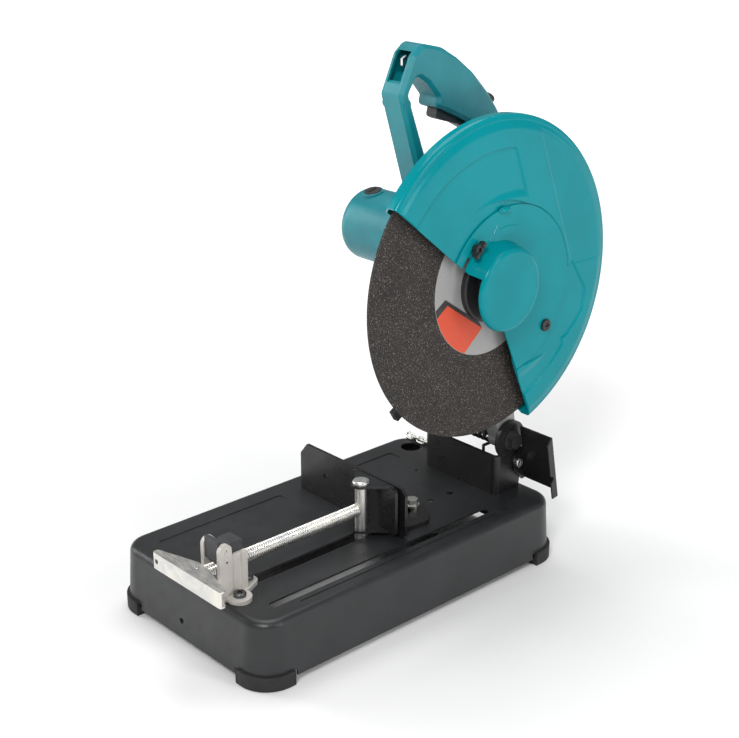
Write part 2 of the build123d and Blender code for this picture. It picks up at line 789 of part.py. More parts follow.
def case_outline(grow=0.0):
    """Gear case outline in the plane of the gears: a rounded shape about the spindle and the rotor."""
    spindle = Pos(axle_y, axle_z) * Circle(case_spindle_r + grow)
    motor = Pos(motor_y, motor_z) * Circle(case_motor_r + grow)
    return spindle + motor + make_hull((spindle + motor).edges())


def case_slab(x0, x1, grow=0.0):
    """Gear case outline extruded along X."""
    return extrude(Plane.YZ.offset(x0) * case_outline(grow), x1 - x0)


def arm_leg_ends():
    """Front and rear of the arm's legs at the neck, in Y, and the neck's height."""
    return motor_y - 18.0, motor_y + 24.0, pivot_z + neck_rise


def make_arm():
    """Casting: two hinge bosses, a forked arm and the gear case."""
    case = case_slab(case_x0, case_x1)
    neck_front, neck_rear, neck_z = arm_leg_ends()
    arm = None
    for x0, x1 in (boss_left, boss_right):
        leg = slab_x([
            (pivot_y - leg_half, pivot_z), (pivot_y + leg_half, pivot_z),
            (neck_rear, neck_z), (neck_front, neck_z),
        ], x0, x1)
        leg += rod_x(pivot_y, pivot_z, boss_r, x0, x1)
        arm = leg if arm is None else arm + leg
    neck = [
        (neck_front - 2, neck_z - 22), (neck_rear + 2, neck_z - 26),
        (neck_rear + 6, motor_z - 20), (axle_y - 22, axle_z - 30),
        (axle_y - 18, axle_z - case_spindle_r - 14),
    ]
    cross = slab_x(neck, case_x0, case_x1)
    bridge = block(boss_left[0], boss_right[1], neck_front, neck_rear, neck_z - 22, neck_z)
    pocket_depth = 9.0
    pocket = [
        (neck_front + 6, neck_z + 6), (neck_rear - 6, neck_z + 6),
        (neck_rear - 2, motor_z - case_motor_r - 8), (axle_y, axle_z - case_spindle_r - 8),
    ]
    for x0, x1 in ((case_x0 - 1, case_x0 + pocket_depth), (case_x1 - pocket_depth, case_x1 + 1)):
        cross -= slab_x(pocket, x0, x1, radius=5)
    shape = case + arm + cross + bridge
    for y, z in motor_screw_places():
        shape += rod_x(y, z, 7, case_x0, case_x0 + 14)
    shape += handle_tenons()
    shape -= case_slab(case_x0 + 20, case_x1 + 1, -case_wall)
    for y, z in case_screw_places():
        shape += rod_x(y, z, 5, case_x0 + 20, case_x1) & case_slab(case_x0, case_x1)
    shape -= rod_x(axle_y, axle_z, gear_teeth * gear_module / 2 + 2.2, gear_x0 - 2, case_x1 + 1)
    shape -= rod_x(pivot_y, pivot_z, bush_r, boss_left[0] - 1, boss_right[1] + 1)
    clear_r = pivot_bolt_r + 9.5
    shape -= rod_x(pivot_y, pivot_z, clear_r, boss_left[1], boss_right[0])
    shape -= rod_x(axle_y, axle_z, bearing_tail[0], tail_bearing_x, case_x0 + 21)
    shape -= rod_x(motor_y, motor_z, bearing_rotor[0], rotor_bearing_x, case_x0 + 21)
    shape -= rod_x(motor_y, motor_z, rotor_shaft_r + 4, case_x0 - 1, rotor_bearing_x + 1)
    for y, z in case_screw_places():
        shape -= rod_x(y, z, case_screw_r, case_x1 - 15, case_x1 + 1)
    for y, z in motor_screw_places():
        shape -= rod_x(y, z, case_screw_r, case_x0 - 1, case_x0 + 12)
    x, (y, z) = boss_left[0], stop_screw_place()
    screw = rod_x(y, z, stop_screw_r, x - 1, boss_left[1] - 2) + rod_x(y, z, 5.6, x - 1, x + 3.2)
    shape -= swing(stop_bar() + screw, -drop_angle)
    return shape


def case_screw_places():
    """Screws round the gear case's rim, in Y and Z."""
    r = case_spindle_r - case_wall / 2 - 0.4
    rm = case_motor_r - case_wall / 2 - 0.4
    return [polar(100, r), polar(155, r), polar(205, r), polar(255, r),
            polar(60, rm, motor_y, motor_z), polar(-50, rm, motor_y, motor_z)]


def motor_screw_places():
    """Screws that hold the motor housing to the gear case, in Y and Z."""
    r = motor_r + 5.2
    return [polar(a, r, motor_y, motor_z) for a in (45, 160, -35, -125)]


def make_bearing_box():
    """Cover of the gear case with the nose for the front spindle bearing."""
    shape = case_slab(case_x1, case_x1 + 6)
    shape += rod_x(axle_y, axle_z, nose_r, case_x1, nose_x1)
    shape += rod_x(axle_y, axle_z, nose_flange_r, nose_x1 - 6, nose_x1)
    for angle in guard_screw_angles:
        y, z = polar(angle, guard_screw_circle)
        shape += rod_x(y, z, guard_lug_r, nose_x1 - 6, nose_x1)
    for angle in (45, 135, 225, 315):
        rib = Pos(nose_r / 2 + 8, 0, 0) * Box(nose_r, 5, nose_x1 - case_x1 - 4)
        placed = at(((case_x1 + nose_x1) / 2, axle_y, axle_z), (1, 0, 0), Rot(0, 0, angle) * rib)
        shape += placed
    shape -= rod_x(axle_y, axle_z, bearing_big[0], big_bearing_x, nose_x1 - 4)
    shape -= rod_x(axle_y, axle_z, bearing_big[0] - 4, case_x1 - 1, big_bearing_x + 1)
    shape -= rod_x(axle_y, axle_z, spindle_r + 5, nose_x1 - 6, nose_x1 + 1)
    shape -= rod_x(motor_y, motor_z, 12, case_x1 - 1, case_x1 + 3)
    for y, z in case_screw_places():
        shape -= rod_x(y, z, case_screw_r + screw_gap, case_x1 - 1, case_x1 + 7)
    for angle in guard_screw_angles:
        y, z = polar(angle, guard_screw_circle)
        shape -= rod_x(y, z, case_screw_r, nose_x1 - 7, nose_x1 + 1)
    shape -= rod_y(lock_x, axle_z, lock_pin_r + running_fit, axle_y - nose_r - 10, axle_y)
    return shape


def case_screws():
    """Screws through the bearing box and through the motor housing's lugs."""
    screws = []
    for y, z in case_screw_places():
        screws.append(at((case_x1 + 6, y, z), (1, 0, 0), cap_screw(case_screw_r, 20, 4.6, 3)))
    for y, z in motor_screw_places():
        screws.append(at((case_x0 - motor_flange, y, z), (-1, 0, 0), cap_screw(case_screw_r, 16, 4.6, 3)))
    return group(*screws)


def make_shaft_lock():
    """Button on a pin that enters the spindle when pressed."""
    outer = axle_y - nose_r
    tip = axle_y - spindle_shoulder_r - 1.0
    pin = rod_y(lock_x, axle_z, lock_pin_r, outer - lock_travel - 5, tip)
    button = rod_y(lock_x, axle_z, lock_button_r, outer - lock_travel - 9, outer - lock_travel - 1)
    button = fillet(button.edges().group_by(Axis.Y)[0], 2)
    return pin + button


# ---------------------------------------------------------------- depth stop


def stop_depth():
    """Height at which the middle of the arm's leg crosses the depth stop, the head being lowered."""
    neck_front, neck_rear, neck_z = arm_leg_ends()
    lean = math.degrees(math.atan2(neck_z - pivot_z, (neck_front + neck_rear) / 2 - pivot_y))
    return pivot_z + stop_from_pivot * math.tan(math.radians(180 - lean - drop_angle))


def stop_screw_place():
    """Cross screw of the depth stop, in Y and Z, the head being lowered."""
    return pivot_y - stop_from_pivot, stop_depth() - 2


def stop_bar():
    """Depth stop as it stands on the base, the head being lowered."""
    middle = (boss_left[0] + boss_left[1]) / 2
    x0, x1 = middle - stop_thickness / 2, middle + stop_thickness / 2
    y = pivot_y - stop_from_pivot
    return block(x0, x1, y - stop_width / 2, y + stop_width / 2, base_top + free_gap, stop_depth() + 5)


def make_depth_stop():
    """Leg in the arm that meets the base when the head is right down, and its cross screw."""
    y, z = stop_screw_place()
    length = boss_left[1] - boss_left[0] - 5
    screw = at((boss_left[0] + 3.2, y, z), (-1, 0, 0), cap_screw(stop_screw_r, length, 5.5, 3))
    bar = stop_bar() - rod_x(y, z, stop_screw_r, -200, 200)
    parts["depth_stop"] = swing(bar, -drop_angle)
    parts["stop_screw"] = swing(screw, -drop_angle)


# ---------------------------------------------------------------- gears, spindle, rotor

def gear_face(teeth, bore):
    """Involute gear outline, middle at the origin, one tooth on +X."""
    pitch_r = teeth * gear_module / 2
    pressure = math.radians(20)
    base_r = pitch_r * math.cos(pressure)
    tip_r = pitch_r + 0.75 * gear_module
    root_r = pitch_r - 1.15 * gear_module
    half = math.pi / (2 * teeth) - gear_backlash / (2 * pitch_r)

    def involute(angle):
        return math.tan(angle) - angle

    def flank(r):
        if r <= base_r:
            return half + involute(pressure)
        return half + involute(pressure) - involute(math.acos(base_r / r))

    steps = 4
    radii = [root_r + (tip_r - root_r) * n / steps for n in range(steps + 1)]
    points = []
    for tooth in range(teeth):
        middle = 2 * math.pi * tooth / teeth
        rising = [(r, middle - flank(r)) for r in radii]
        falling = [(r, middle + flank(r)) for r in reversed(radii)]
        points += [(r * math.cos(a), r * math.sin(a)) for r, a in rising + falling]
    return make_face(Polyline(*points, close=True)) - Circle(bore)


def place_gear(y, z, x0, width, face, turn):
    """Gear face turned about its axis and extruded along X."""
    return extrude(Plane.YZ.offset(x0) * Pos(y, z) * Rot(0, 0, turn) * face, width)


def make_gears():
    """Spindle gear, one tooth pointing at the rotor."""
    face = gear_face(gear_teeth, gear_seat_r)
    gear = place_gear(axle_y, axle_z, gear_x0, gear_width, face, motor_direction)
    for n in range(6):
        y, z = polar(motor_direction + 60 * n, 26)
        gear -= rod_x(y, z, 7, gear_x0 - 1, gear_x0 + gear_width + 1)
    parts["spindle_gear"] = gear


def make_rotor_shaft():
    """Rotor shaft with the pinion cut on its end."""
    shaft = rod_x(motor_y, motor_z, rotor_shaft_r, rear_seat_x, gear_x0 + gear_width + 2)
    turn = motor_direction + 180 + 180 / pinion_teeth
    face = gear_face(pinion_teeth, rotor_shaft_r * 0.5)
    return shaft + place_gear(motor_y, motor_z, gear_x0 - 1, gear_width + 2, face, turn)


def bearing(y, z, x0, r_out, width, r_in):
    """Ball bearing with a recessed shield on each side."""
    ring = (r_out - r_in) * 0.28
    shield = 0.8
    shape = ring_x(y, z, r_out, r_in + running_fit, x0, x0 + width)
    for start in (x0 - 1, x0 + width - shield):
        shape -= ring_x(y, z, r_out - ring, r_in + ring, start, start + 1 + shield)
    return shape


def make_spindle():
    """Stepped spindle with a threaded end and a cross hole for the lock pin."""
    inner_flange_x = wheel_back_x - inner_flange_thickness
    shape = rod_x(axle_y, axle_z, spindle_tail_r, tail_bearing_x + 1, gear_x0)
    shape += rod_x(axle_y, axle_z, gear_seat_r, gear_x0 - 6, gear_x0 + gear_width)
    shape += rod_x(axle_y, axle_z, spindle_r, gear_x0 + gear_width, wheel_front_x - 1)
    shape += rod_x(axle_y, axle_z, spindle_shoulder_r, gear_x0 + gear_width, big_bearing_x)
    shape -= rod_x(axle_y, axle_z, wheel_bolt_r, wheel_front_x - 30, wheel_front_x + 1)
    shape -= rod_y(lock_x, axle_z, lock_pin_r + 0.3, axle_y - 20, axle_y + 20)
    parts["spindle"] = shape
    flange = rod_x(axle_y, axle_z, flange_r, inner_flange_x, wheel_back_x)
    flange -= ring_x(axle_y, axle_z, flange_r - 9, spindle_r + 5, wheel_back_x - 1, wheel_back_x + 1)
    flange += rod_x(axle_y, axle_z, wheel_bore_r - running_fit, inner_flange_x, wheel_front_x - 0.4)
    parts["inner_flange"] = flange - rod_x(axle_y, axle_z, spindle_r, 0, 200)
    tail_r, tail_width = bearing_tail
    big_r, big_width = bearing_big
    parts["spindle_bearings"] = group(
        bearing(axle_y, axle_z, tail_bearing_x, tail_r, tail_width, spindle_tail_r),
        bearing(axle_y, axle_z, big_bearing_x, big_r, big_width, spindle_r),
    )


def make_wheel():
    """Cut-off wheel with its paper label, outer flange and bolt."""
    wheel = ring_x(axle_y, axle_z, wheel_radius, wheel_bore_r, wheel_back_x, wheel_front_x)
    parts["abrasive_wheel"] = wheel
    label_x1 = wheel_front_x + label_thickness
    parts["wheel_label"] = ring_x(axle_y, axle_z, label_r, wheel_bore_r + 1, wheel_front_x, label_x1)
    flange_x1 = label_x1 + outer_flange_thickness
    flange = rod_x(axle_y, axle_z, flange_r, label_x1, flange_x1)
    flange = fillet(flange.edges().group_by(Axis.X)[-1], 2.5)
    flange -= rod_x(axle_y, axle_z, flange_r - 12, flange_x1 - 2.5, flange_x1 + 1)
    flange -= ring_x(axle_y, axle_z, flange_r - 9, spindle_r + 5, label_x1 - 1, label_x1 + 1)
    parts["outer_flange"] = flange - rod_x(axle_y, axle_z, wheel_bolt_r, 0, 200)
    bolt = hex_bolt(wheel_bolt_r, 30, 17, 6.5, washer_r=12, washer=2)
    parts["wheel_bolt"] = at((flange_x1 - 2.5, axle_y, axle_z), (1, 0, 0), bolt)


def motor_body(r, x0, x1, dome):
    """Barrel along X with a rounded far end."""
    barrel = rod_x(motor_y, motor_z, r, x0, x1)
    return fillet(barrel.edges().group_by(Axis.X)[0], dome)


def brush_direction(side):
    """Direction of a brush, away from the rotor."""
    a = math.radians(brush_angle)
    return (0, side * math.cos(a), side * math.sin(a))


def brush_point(side, radius):
    """Point on a brush's axis."""
    _, y, z = brush_direction(side)
    return (brush_x, motor_y + radius * y, motor_z + radius * z)


def make_motor_housing():
    """Moulded barrel with a domed end, brush bosses, lugs and cooling slots."""
    outer = motor_body(motor_r, motor_end_x, case_x0, 16)
    inner = motor_body(motor_r - motor_wall, motor_end_x + motor_wall, case_x0 + 1, 16 - motor_wall)
    seat_r, seat_width = bearing_rotor_end
    inner -= rod_x(motor_y, motor_z, seat_r + 3, motor_end_x, rear_seat_x + seat_width)
    shape = outer - inner
    for side in (-1, 1):
        boss = Pos(0, 0, 6) * Cylinder(brush_ring_r, 12 + 2)
        boss = fillet(boss.edges().group_by(Axis.Z)[-1], 1.2)
        shape += at(brush_point(side, motor_r - 11), brush_direction(side), boss) - motor_body(
            motor_r - motor_wall, motor_end_x + motor_wall, case_x0 + 1, 16 - motor_wall)
        shape -= at(brush_point(side, motor_r), brush_direction(side), Cylinder(brush_hole_r, 40))
        shape -= at(brush_point(side, motor_r), brush_direction(side), Pos(0, 0, 5) * Cylinder(10.7, 10))
    for y, z in motor_screw_places():
        lug = rod_x(y, z, 6.5, case_x0 - motor_flange, case_x0)
        shape += lug - rod_x(motor_y, motor_z, motor_r - motor_wall, case_x0 - 10, case_x0 + 1)
    for y, z in motor_screw_places():
        shape -= rod_x(y, z, case_screw_r + screw_gap, case_x0 - motor_flange - 1, case_x0 + 1)
    shape -= rod_x(motor_y, motor_z, seat_r, rear_seat_x, rear_seat_x + seat_width + 1)
    slots = 14
    for n in range(slots):
        angle = 360 * n / slots
        y, z = polar(angle, motor_r - 14, motor_y, motor_z)
        cut = Rot(0, 0, angle) * Box(15, 3.2, 20)
        shape -= at((motor_end_x, y, z), (1, 0, 0), cut)
    y, z = cord_place()
    shape -= at((cord_x, y, z), cord_direction(), Cylinder(cord_hole_r, 30))
    return max(shape.solids(), key=lambda s: s.volume)


def cord_direction():
    """Direction in which a cord would leave the motor housing."""
    a = math.radians(cord_angle)
    return (0, math.cos(a), math.sin(a))


def cord_place():
    """Middle of the cord hole on the motor housing, in Y and Z."""
    return polar(cord_angle, motor_r, motor_y, motor_z)


def make_motor():
    """Stator, rotor, commutator, fan, bearings and brush gear."""
    bore = motor_r - motor_wall
    y, z = motor_y, motor_z
    stack = (-96.0, -40.0)
    stator = ring_x(y, z, bore, 26.5, *stack)
    for n in range(12):
        sy, sz = polar(30 * n, 26.5, y, z)
        stator -= rod_x(sy, sz, 2.2, stack[0] - 1, stack[1] + 1)
    parts["stator"] = stator
    core = ring_x(y, z, 25.6, rotor_shaft_r, stack[0] + 2, stack[1] - 2)
    for n in range(12):
        sy, sz = polar(30 * n + 15, 25.6, y, z)
        core -= rod_x(sy, sz, 1.8, stack[0], stack[1])
    parts["rotor_core"] = core
    rear_r, rear_width = bearing_rotor_end
    front_r, front_width = bearing_rotor
    parts["rotor_shaft"] = make_rotor_shaft()
    com_x0, com_x1 = brush_x - 11, brush_x + 12
    com = ring_x(y, z, 14, rotor_shaft_r, com_x0, com_x1)
    com -= rod_x(y, z, 8.5, com_x0 - 1, com_x0 + 2) - rod_x(y, z, rotor_shaft_r + 1, com_x0 - 1, com_x0 + 3)
    for n in range(16):
        sy, sz = polar(22.5 * n, 14, y, z)
        com -= rod_x(sy, sz, 0.5, com_x0 - 1, com_x1 + 1)
    parts["commutator"] = com
    parts["cooling_fan"] = make_fan(y, z)
    parts["motor_bearings"] = group(
        bearing(y, z, rear_seat_x, rear_r, rear_width, rotor_shaft_r),
        bearing(y, z, rotor_bearing_x, front_r, front_width, rotor_shaft_r),
    )
    holders = []
    brushes = []
    caps = []
    for side in (-1, 1):
        direction = brush_direction(side)
        holder = Pos(0, 0, 12) * (Cylinder(brush_hole_r, 24) - Box(10.3, 6.3, 60))
        holders.append(at(brush_point(side, 17), direction, holder))
        brush = Pos(0, 0, 9) * Box(10, 6, 18)
        brushes.append(at(brush_point(side, 14.4), direction, brush))
        cap = Pos(0, 0, 1.5) * Cylinder(10.4, 3)
        cap = fillet(cap.edges().group_by(Axis.Z)[-1], 0.8)
        cap -= Pos(0, 0, 3) * Box(13, 2.2, 2.4)
        caps.append(at(brush_point(side, motor_r + 0.1), direction, cap))
    parts["brush_holders"] = group(*holders)
    parts["carbon_brushes"] = group(*brushes)
    parts["brush_caps"] = group(*caps)


def make_fan(y, z):
    """Radial fan: a disc with curved blades."""
    x0, x1 = -24.0, -8.0
    fan_r = motor_r - motor_wall - 2.0
    shape = ring_x(y, z, fan_r, rotor_shaft_r, x1 - 2, x1) + ring_x(y, z, 9, rotor_shaft_r, x0, x1)
    for n in range(12):
        blade = Pos(fan_r / 2 + 7, 0, 0) * Rot(0, 0, 25) * Box(fan_r - 18, 1.6, x1 - x0 - 1)
        turned = at(((x0 + x1 - 1) / 2, y, z), (1, 0, 0), Rot(0, 0, 30 * n) * blade)
        shape += turned
    return shape & rod_x(y, z, fan_r, x0, x1)


# ---------------------------------------------------------------- guard and centre cover


def cover_screw_place():
    """Screw on which the centre cover turns, in Y and Z."""
    return axle_y + 83.0, axle_z - 64.5


def wing_place():
    """Wing bolt, in Y and Z."""
    return axle_y - 37.0, axle_z + 50.0


def opening(x0, x1, grow=0.0):
    """Wedge through which the wheel reaches out of the guard."""
    vertex = (axle_y + opening_point[0], axle_z + opening_point[1])
    reach = 2 * guard_r
    corners = [vertex]
    for angle in (opening_front_angle, 180, 225, 270, 360 + opening_rear_angle):
        y, z = polar(angle, reach if angle in (180, 225, 270) else guard_r * 1.4)
        corners.append((y, z))
    return slab_x(corners, x0, x1)


def make_guard():
    """Pressed steel guard: a back plate, a rim and a front plate, open over the cutting side."""
    back, front = guard_back_x + guard_sheet, guard_front_x - guard_sheet
    outer = rod_x(axle_y, axle_z, guard_r, guard_back_x, guard_front_x)
    outer = fillet(outer.edges().group_by(Axis.X)[-1], guard_front_round)
    outer = chamfer(outer.edges().group_by(Axis.X)[0], guard_back_bevel)
    inner = rod_x(axle_y, axle_z, guard_r - guard_sheet, back, front)
    inner = fillet(inner.edges().group_by(Axis.X)[-1], guard_front_round - guard_sheet)
    inner = chamfer(inner.edges().group_by(Axis.X)[0], guard_back_bevel - 0.6 * guard_sheet)
    shell = outer - inner
    shell -= opening(guard_back_x - 1, guard_front_x + 1)
    shell -= rod_x(axle_y, axle_z, spindle_r + 8, guard_back_x - 1, guard_back_x + guard_sheet + 1)
    shell += ring_x(axle_y, axle_z, nose_flange_r, spindle_r + 8, guard_back_x, back)
    window = rod_x(axle_y + cover_dy, axle_z + cover_dz, cover_r - 12, guard_front_x - 5, guard_front_x + 1)
    keep = rod_x(*cover_screw_place(), 12, guard_front_x - 5, guard_front_x + 1)
    keep += rod_x(*wing_place(), 12, guard_front_x - 5, guard_front_x + 1)
    shell -= window - keep
    shell -= opening(guard_front_x - 4, guard_front_x + 1)
    for angle in guard_screw_angles:
        y, z = polar(angle, guard_screw_circle)
        shell -= rod_x(y, z, case_screw_r + screw_gap, guard_back_x - 1, guard_back_x + guard_sheet + 1)
    shell -= rod_x(*cover_screw_place(), cover_screw_r, guard_front_x - 5, guard_front_x + 1)
    shell -= rod_x(*wing_place(), wing_r + running_fit, guard_front_x - 5, guard_front_x + 1)
    return max(shell.solids(), key=lambda s: s.volume)


def guard_screws():
    """Four screws that hold the guard to the bearing box."""
    screws = []
    for angle in guard_screw_angles:
        y, z = polar(angle, guard_screw_circle)
        place = (guard_back_x + guard_sheet, y, z)
        screws.append(at(place, (1, 0, 0), cap_screw(case_screw_r, 8, 4.6, 2.6)))
    return group(*screws)


def cover_bell(x1, r_foot, r_top, round_r):
    """Bulge over the flange: a cone with a flat, rounded top."""
    foot = Plane.YZ.offset(cover_front_x) * Pos(axle_y, axle_z) * Circle(r_foot)
    top = Plane.YZ.offset(x1) * Pos(axle_y, axle_z) * Circle(r_top)
    bell = loft([foot, top])
    return fillet(bell.edges().group_by(Axis.X)[-1], round_r)


def make_cover():
    """Centre cover: a disc with a bulge, cut back where the guard is open."""
    y, z = axle_y + cover_dy, axle_z + cover_dz
    disc = rod_x(y, z, cover_r, cover_front_x, cover_front_x + cover_sheet)
    bell = cover_bell(boss_top_x, boss_foot_r, boss_top_r, 5.0)
    hollow = cover_bell(boss_top_x - cover_sheet, boss_foot_r - cover_sheet, boss_top_r - cover_sheet, 3.2)
    shape = disc + bell
    shape -= hollow
    mouth_r = boss_foot_r - cover_sheet
    shape -= rod_x(axle_y, axle_z, mouth_r, cover_front_x - 1, cover_front_x + cover_sheet)
    shape -= opening(cover_front_x - 1, boss_top_x - cover_sheet - 3.2)
    shape -= rod_x(*cover_screw_place(), cover_screw_r + running_fit, cover_front_x - 1, cover_front_x + 5)
    wy, wz = wing_place()
    hy, hz = cover_screw_place()
    gap = wing_r + free_gap
    slot_r = math.hypot(wy - hy, wz - hz)
    slot = ring_x(hy, hz, slot_r + gap, slot_r - gap, cover_front_x - 1, cover_front_x + 5)
    a = math.degrees(math.atan2(wz - hz, wy - hy))
    wedge = [(hy, hz)]
    for angle in (a, a + 14, a + 28):
        wedge.append(polar(angle, 2 * slot_r, hy, hz))
    shape -= slot & slab_x(wedge, cover_front_x - 1, cover_front_x + 5)
    shape -= rod_x(wy, wz, gap, cover_front_x - 1, cover_front_x + 5)
    return max(shape.solids(), key=lambda s: s.volume)


def cover_fasteners():
    """Pivot screw and wing bolt of the centre cover."""
    face = cover_front_x + cover_sheet + free_gap / 2
    hinge = cap_screw(cover_screw_r, face - guard_front_x + guard_sheet + 1, 7.0, 3.5)
    parts["cover_screw"] = at((face, *cover_screw_place()), (1, 0, 0), hinge)
    wing = Pos(0, 0, 3.5) * Cylinder(5.5, 7) + Pos(0, 0, -3) * Cylinder(wing_r, 6)
    for side in (-1, 1):
        ear = Box(7, 4.0, 8)
        ear = fillet(ear.edges().filter_by(Axis.Y), 2.5)
        wing += Pos(side * 7, 0, 6) * ear
    wing -= Pos(0, 0, 7) * Cylinder(2.8, 5)
    wy, wz = wing_place()
    hy, hz = cover_screw_place()
    along = (0, wz - hz, hy - wy)
    parts["wing_bolt"] = Plane(origin=(face, wy, wz), x_dir=along, z_dir=(1, 0, 0)) * wing


# ---------------------------------------------------------------- handle

def handle_points():
    """Outer and inner outlines of the D-handle, in Y and Z, from the spindle."""
    outer = [
        (-20, 28), (-76.5, 206), (-58, 247), (-44, 258), (-14, 251), (10, 237.5), (36, 218.5),
        (61, 193.5), (79.5, 170), (91, 140), (95, 105), (93, 60), (84, 18),
    ]
    inner = [
        (64, 30), (71, 62), (70, 104), (54, 142), (28, 166), (-8, 183), (-22, 188), (-19, 198),
        (-34, 215), (-50, 225), (-62, 206), (2, 38),
    ]
    return outer, inner


def handle_face():
    """D-shaped face of the handle, and the face of its finger gap."""
    outer, inner = handle_points()
    radii = [2, 8, 10, 12, 30, 40, 60, 60, 40, 40, 30, 30, 2]
    body = outline([(axle_y + y, axle_z + z) for y, z in outer], radius=radii)
    gap_radii = [8, 12, 16, 12, 14, 6, 6, 3, 8, 5, 8, 8]
    gap = outline([(axle_y + y, axle_z + z) for y, z in inner], radius=gap_radii)
    return body, gap


def trigger_place():
    """Trigger hinge, in Y and Z."""
    return axle_y + trigger_pivot[0], axle_z + trigger_pivot[1]


def handle_half():
    """Half shell to the right of the handle's middle plane, as if both halves were alike."""
    body, gap = handle_face()
    flat = handle_half_width - handle_chamfer
    seam = Plane.YZ.offset(handle_x)
    edge = Plane.YZ.offset(handle_x + flat)
    solid = extrude(seam * body, flat) + extrude(edge * body, handle_chamfer, taper=45)
    solid -= extrude(seam * gap, handle_half_width + 1)
    solid -= extrude(edge * gap, handle_chamfer + 1, taper=-45)
    inside = offset(body, -handle_wall) - offset(gap, handle_wall)
    solid -= extrude(seam * inside, handle_half_width - handle_wall)
    return solid


def handle_tenons():
    """Blocks on the gear case that stand up inside the handle's two posts."""
    body, gap = handle_face()
    room = offset(body, -handle_wall - free_gap) - offset(gap, handle_wall + free_gap)
    half = tenon_half
    solid = extrude(Plane.YZ.offset(handle_x - half) * room, 2 * half)
    solid &= block(handle_x - half, handle_x + half, axle_y - 90, axle_y + 120, axle_z, axle_z + tenon_top)
    for y, z in tenon_screw_places():
        solid -= rod_x(y, z, handle_screw_r + screw_gap, case_x0 - 1, case_x1)
    return solid


def make_handle():
    """Two half shells that meet on the handle's middle plane, hollow inside."""
    right = handle_half()
    left = mirror(right, Plane.YZ.offset(handle_x))
    x0, x1 = handle_x - handle_half_width, handle_x + handle_half_width
    trigger_y, trigger_z = trigger_place()
    cut = case_slab(case_x0 - 60, case_x1 + 60, free_gap / 2)
    cut += rod_x(motor_y, motor_z, motor_r + 3, case_x0 - 20, case_x0 + 20)
    for y, z in motor_screw_places():
        cut += rod_x(y, z, 7.5, case_x0 - 20, case_x0 + 15)
    slot_half = trigger_half + 0.6
    slot = [(-61, 6), (-30, -8), (9, -24), (10, 10), (-38, 40), (-61, 34)]
    slot = [(trigger_y + y, trigger_z + z) for y, z in slot]
    cut += slab_x(slot, handle_x - slot_half, handle_x + slot_half)
    cut += hook_recess()
    cut += make_hook()
    button_hole = Pos(0, 0, 20) * Cylinder(lock_button_size + free_gap, 40)
    cut += at(lock_button_point(-20), lock_direction(), button_hole)
    for y, z in post_screw_places():
        right += rod_x(y, z, 6, handle_x, x1 - 1)
        left += rod_x(y, z, 6, x0 + 1, handle_x)
    for y, z in tenon_screw_places():
        right += rod_x(y, z, 6, handle_x + tenon_half + free_gap, x1 - 1)
        left += rod_x(y, z, 6, x0 + 1, handle_x - tenon_half - free_gap)
    for y, z in handle_screw_places():
        cut += rod_x(y, z, handle_screw_r, x0 - 1, x1 - 6)
        cut += rod_x(y, z, handle_screw_head_r + screw_gap, x0 - 1, x0 + 4)
    pin = rod_x(trigger_y, trigger_z, trigger_pin_r, x0 + 1, handle_x + trigger_half)
    parts["handle_left"] = max((left - cut).solids(), key=lambda s: s.volume) + pin
    parts["handle_right"] = max((right - cut).solids(), key=lambda s: s.volume)


def post_screw_places():
    """Screws that join the half shells through their own posts, in Y and Z."""
    places = [(-45, 134), (-66, 196), (-22, 232), (32, 206), (80, 126)]
    return [(axle_y + y, axle_z + z) for y, z in places]


def tenon_screw_places():
    """Screws that join the half shells through the gear case's tenons, in Y and Z."""
    places = [(-23, tenon_top - 9), (82, tenon_top - 9)]
    return [(axle_y + y, axle_z + z) for y, z in places]


def handle_screw_places():
    """All the screws that join the half shells, in Y and Z."""
    return post_screw_places() + tenon_screw_places()


def handle_screws():
    """Screws from the left-hand side."""
    seat = handle_x - handle_half_width + 4
    screw = cap_screw(handle_screw_r, 24, handle_screw_head_r, 2.6)
    return group(*[at((seat, y, z), (-1, 0, 0), screw) for y, z in handle_screw_places()])


def hook_recess():
    """Hollow in the front of the handle, below its top, that the chain hook stands in."""
    points = [(-84, 212), (-66, 220), (-51, 230), (-42, 236), (-41, 247), (-62, 252), (-84, 240)]
    return slab_x([(axle_y + y, axle_z + z) for y, z in points], handle_x - 10, handle_x + 10)


def make_hook():
    """Steel eye in the recess, for the end of the lock chain, on a stem through the recess's floor."""
    ring = Pos(0, 0, -1.5) * (extrude(RegularPolygon(7.0, 6), 3) - Cylinder(3.8, 20))
    stem = rod_x(0, 0, 1.8, 5.5, 20)
    eye = Rot(90, 0, 0) * ring + stem
    y, z = hook_place
    return at((handle_x, axle_y + y, axle_z + z), (0, 0.5, 0.87), eye)


def lock_direction():
    """Direction in which the lock button stands out."""
    a = math.radians(lock_tilt)
    return (0, math.cos(a), math.sin(a))


def lock_button_point(depth):
    """Point on the lock button's axis, above or below the handle's surface."""
    _, y, z = lock_direction()
    return (handle_x, axle_y + lock_place_at[0] + depth * y, axle_z + lock_place_at[1] + depth * z)


def make_cord_inlet():
    """Gland in the cord hole: a sleeve with a flange outside and a ribbed nose."""
    y, z = cord_place()
    sleeve = Pos(0, 0, 2) * Cylinder(cord_hole_r - screw_gap, 12)
    flange = Pos(0, 0, 3) * Cylinder(cord_hole_r + 2.5, 3)
    nose = Pos(0, 0, 9) * Cylinder(cord_hole_r, 10)
    shape = sleeve + flange + nose - Cylinder(cord_r, 60)
    return at((cord_x, y, z), cord_direction(), shape)


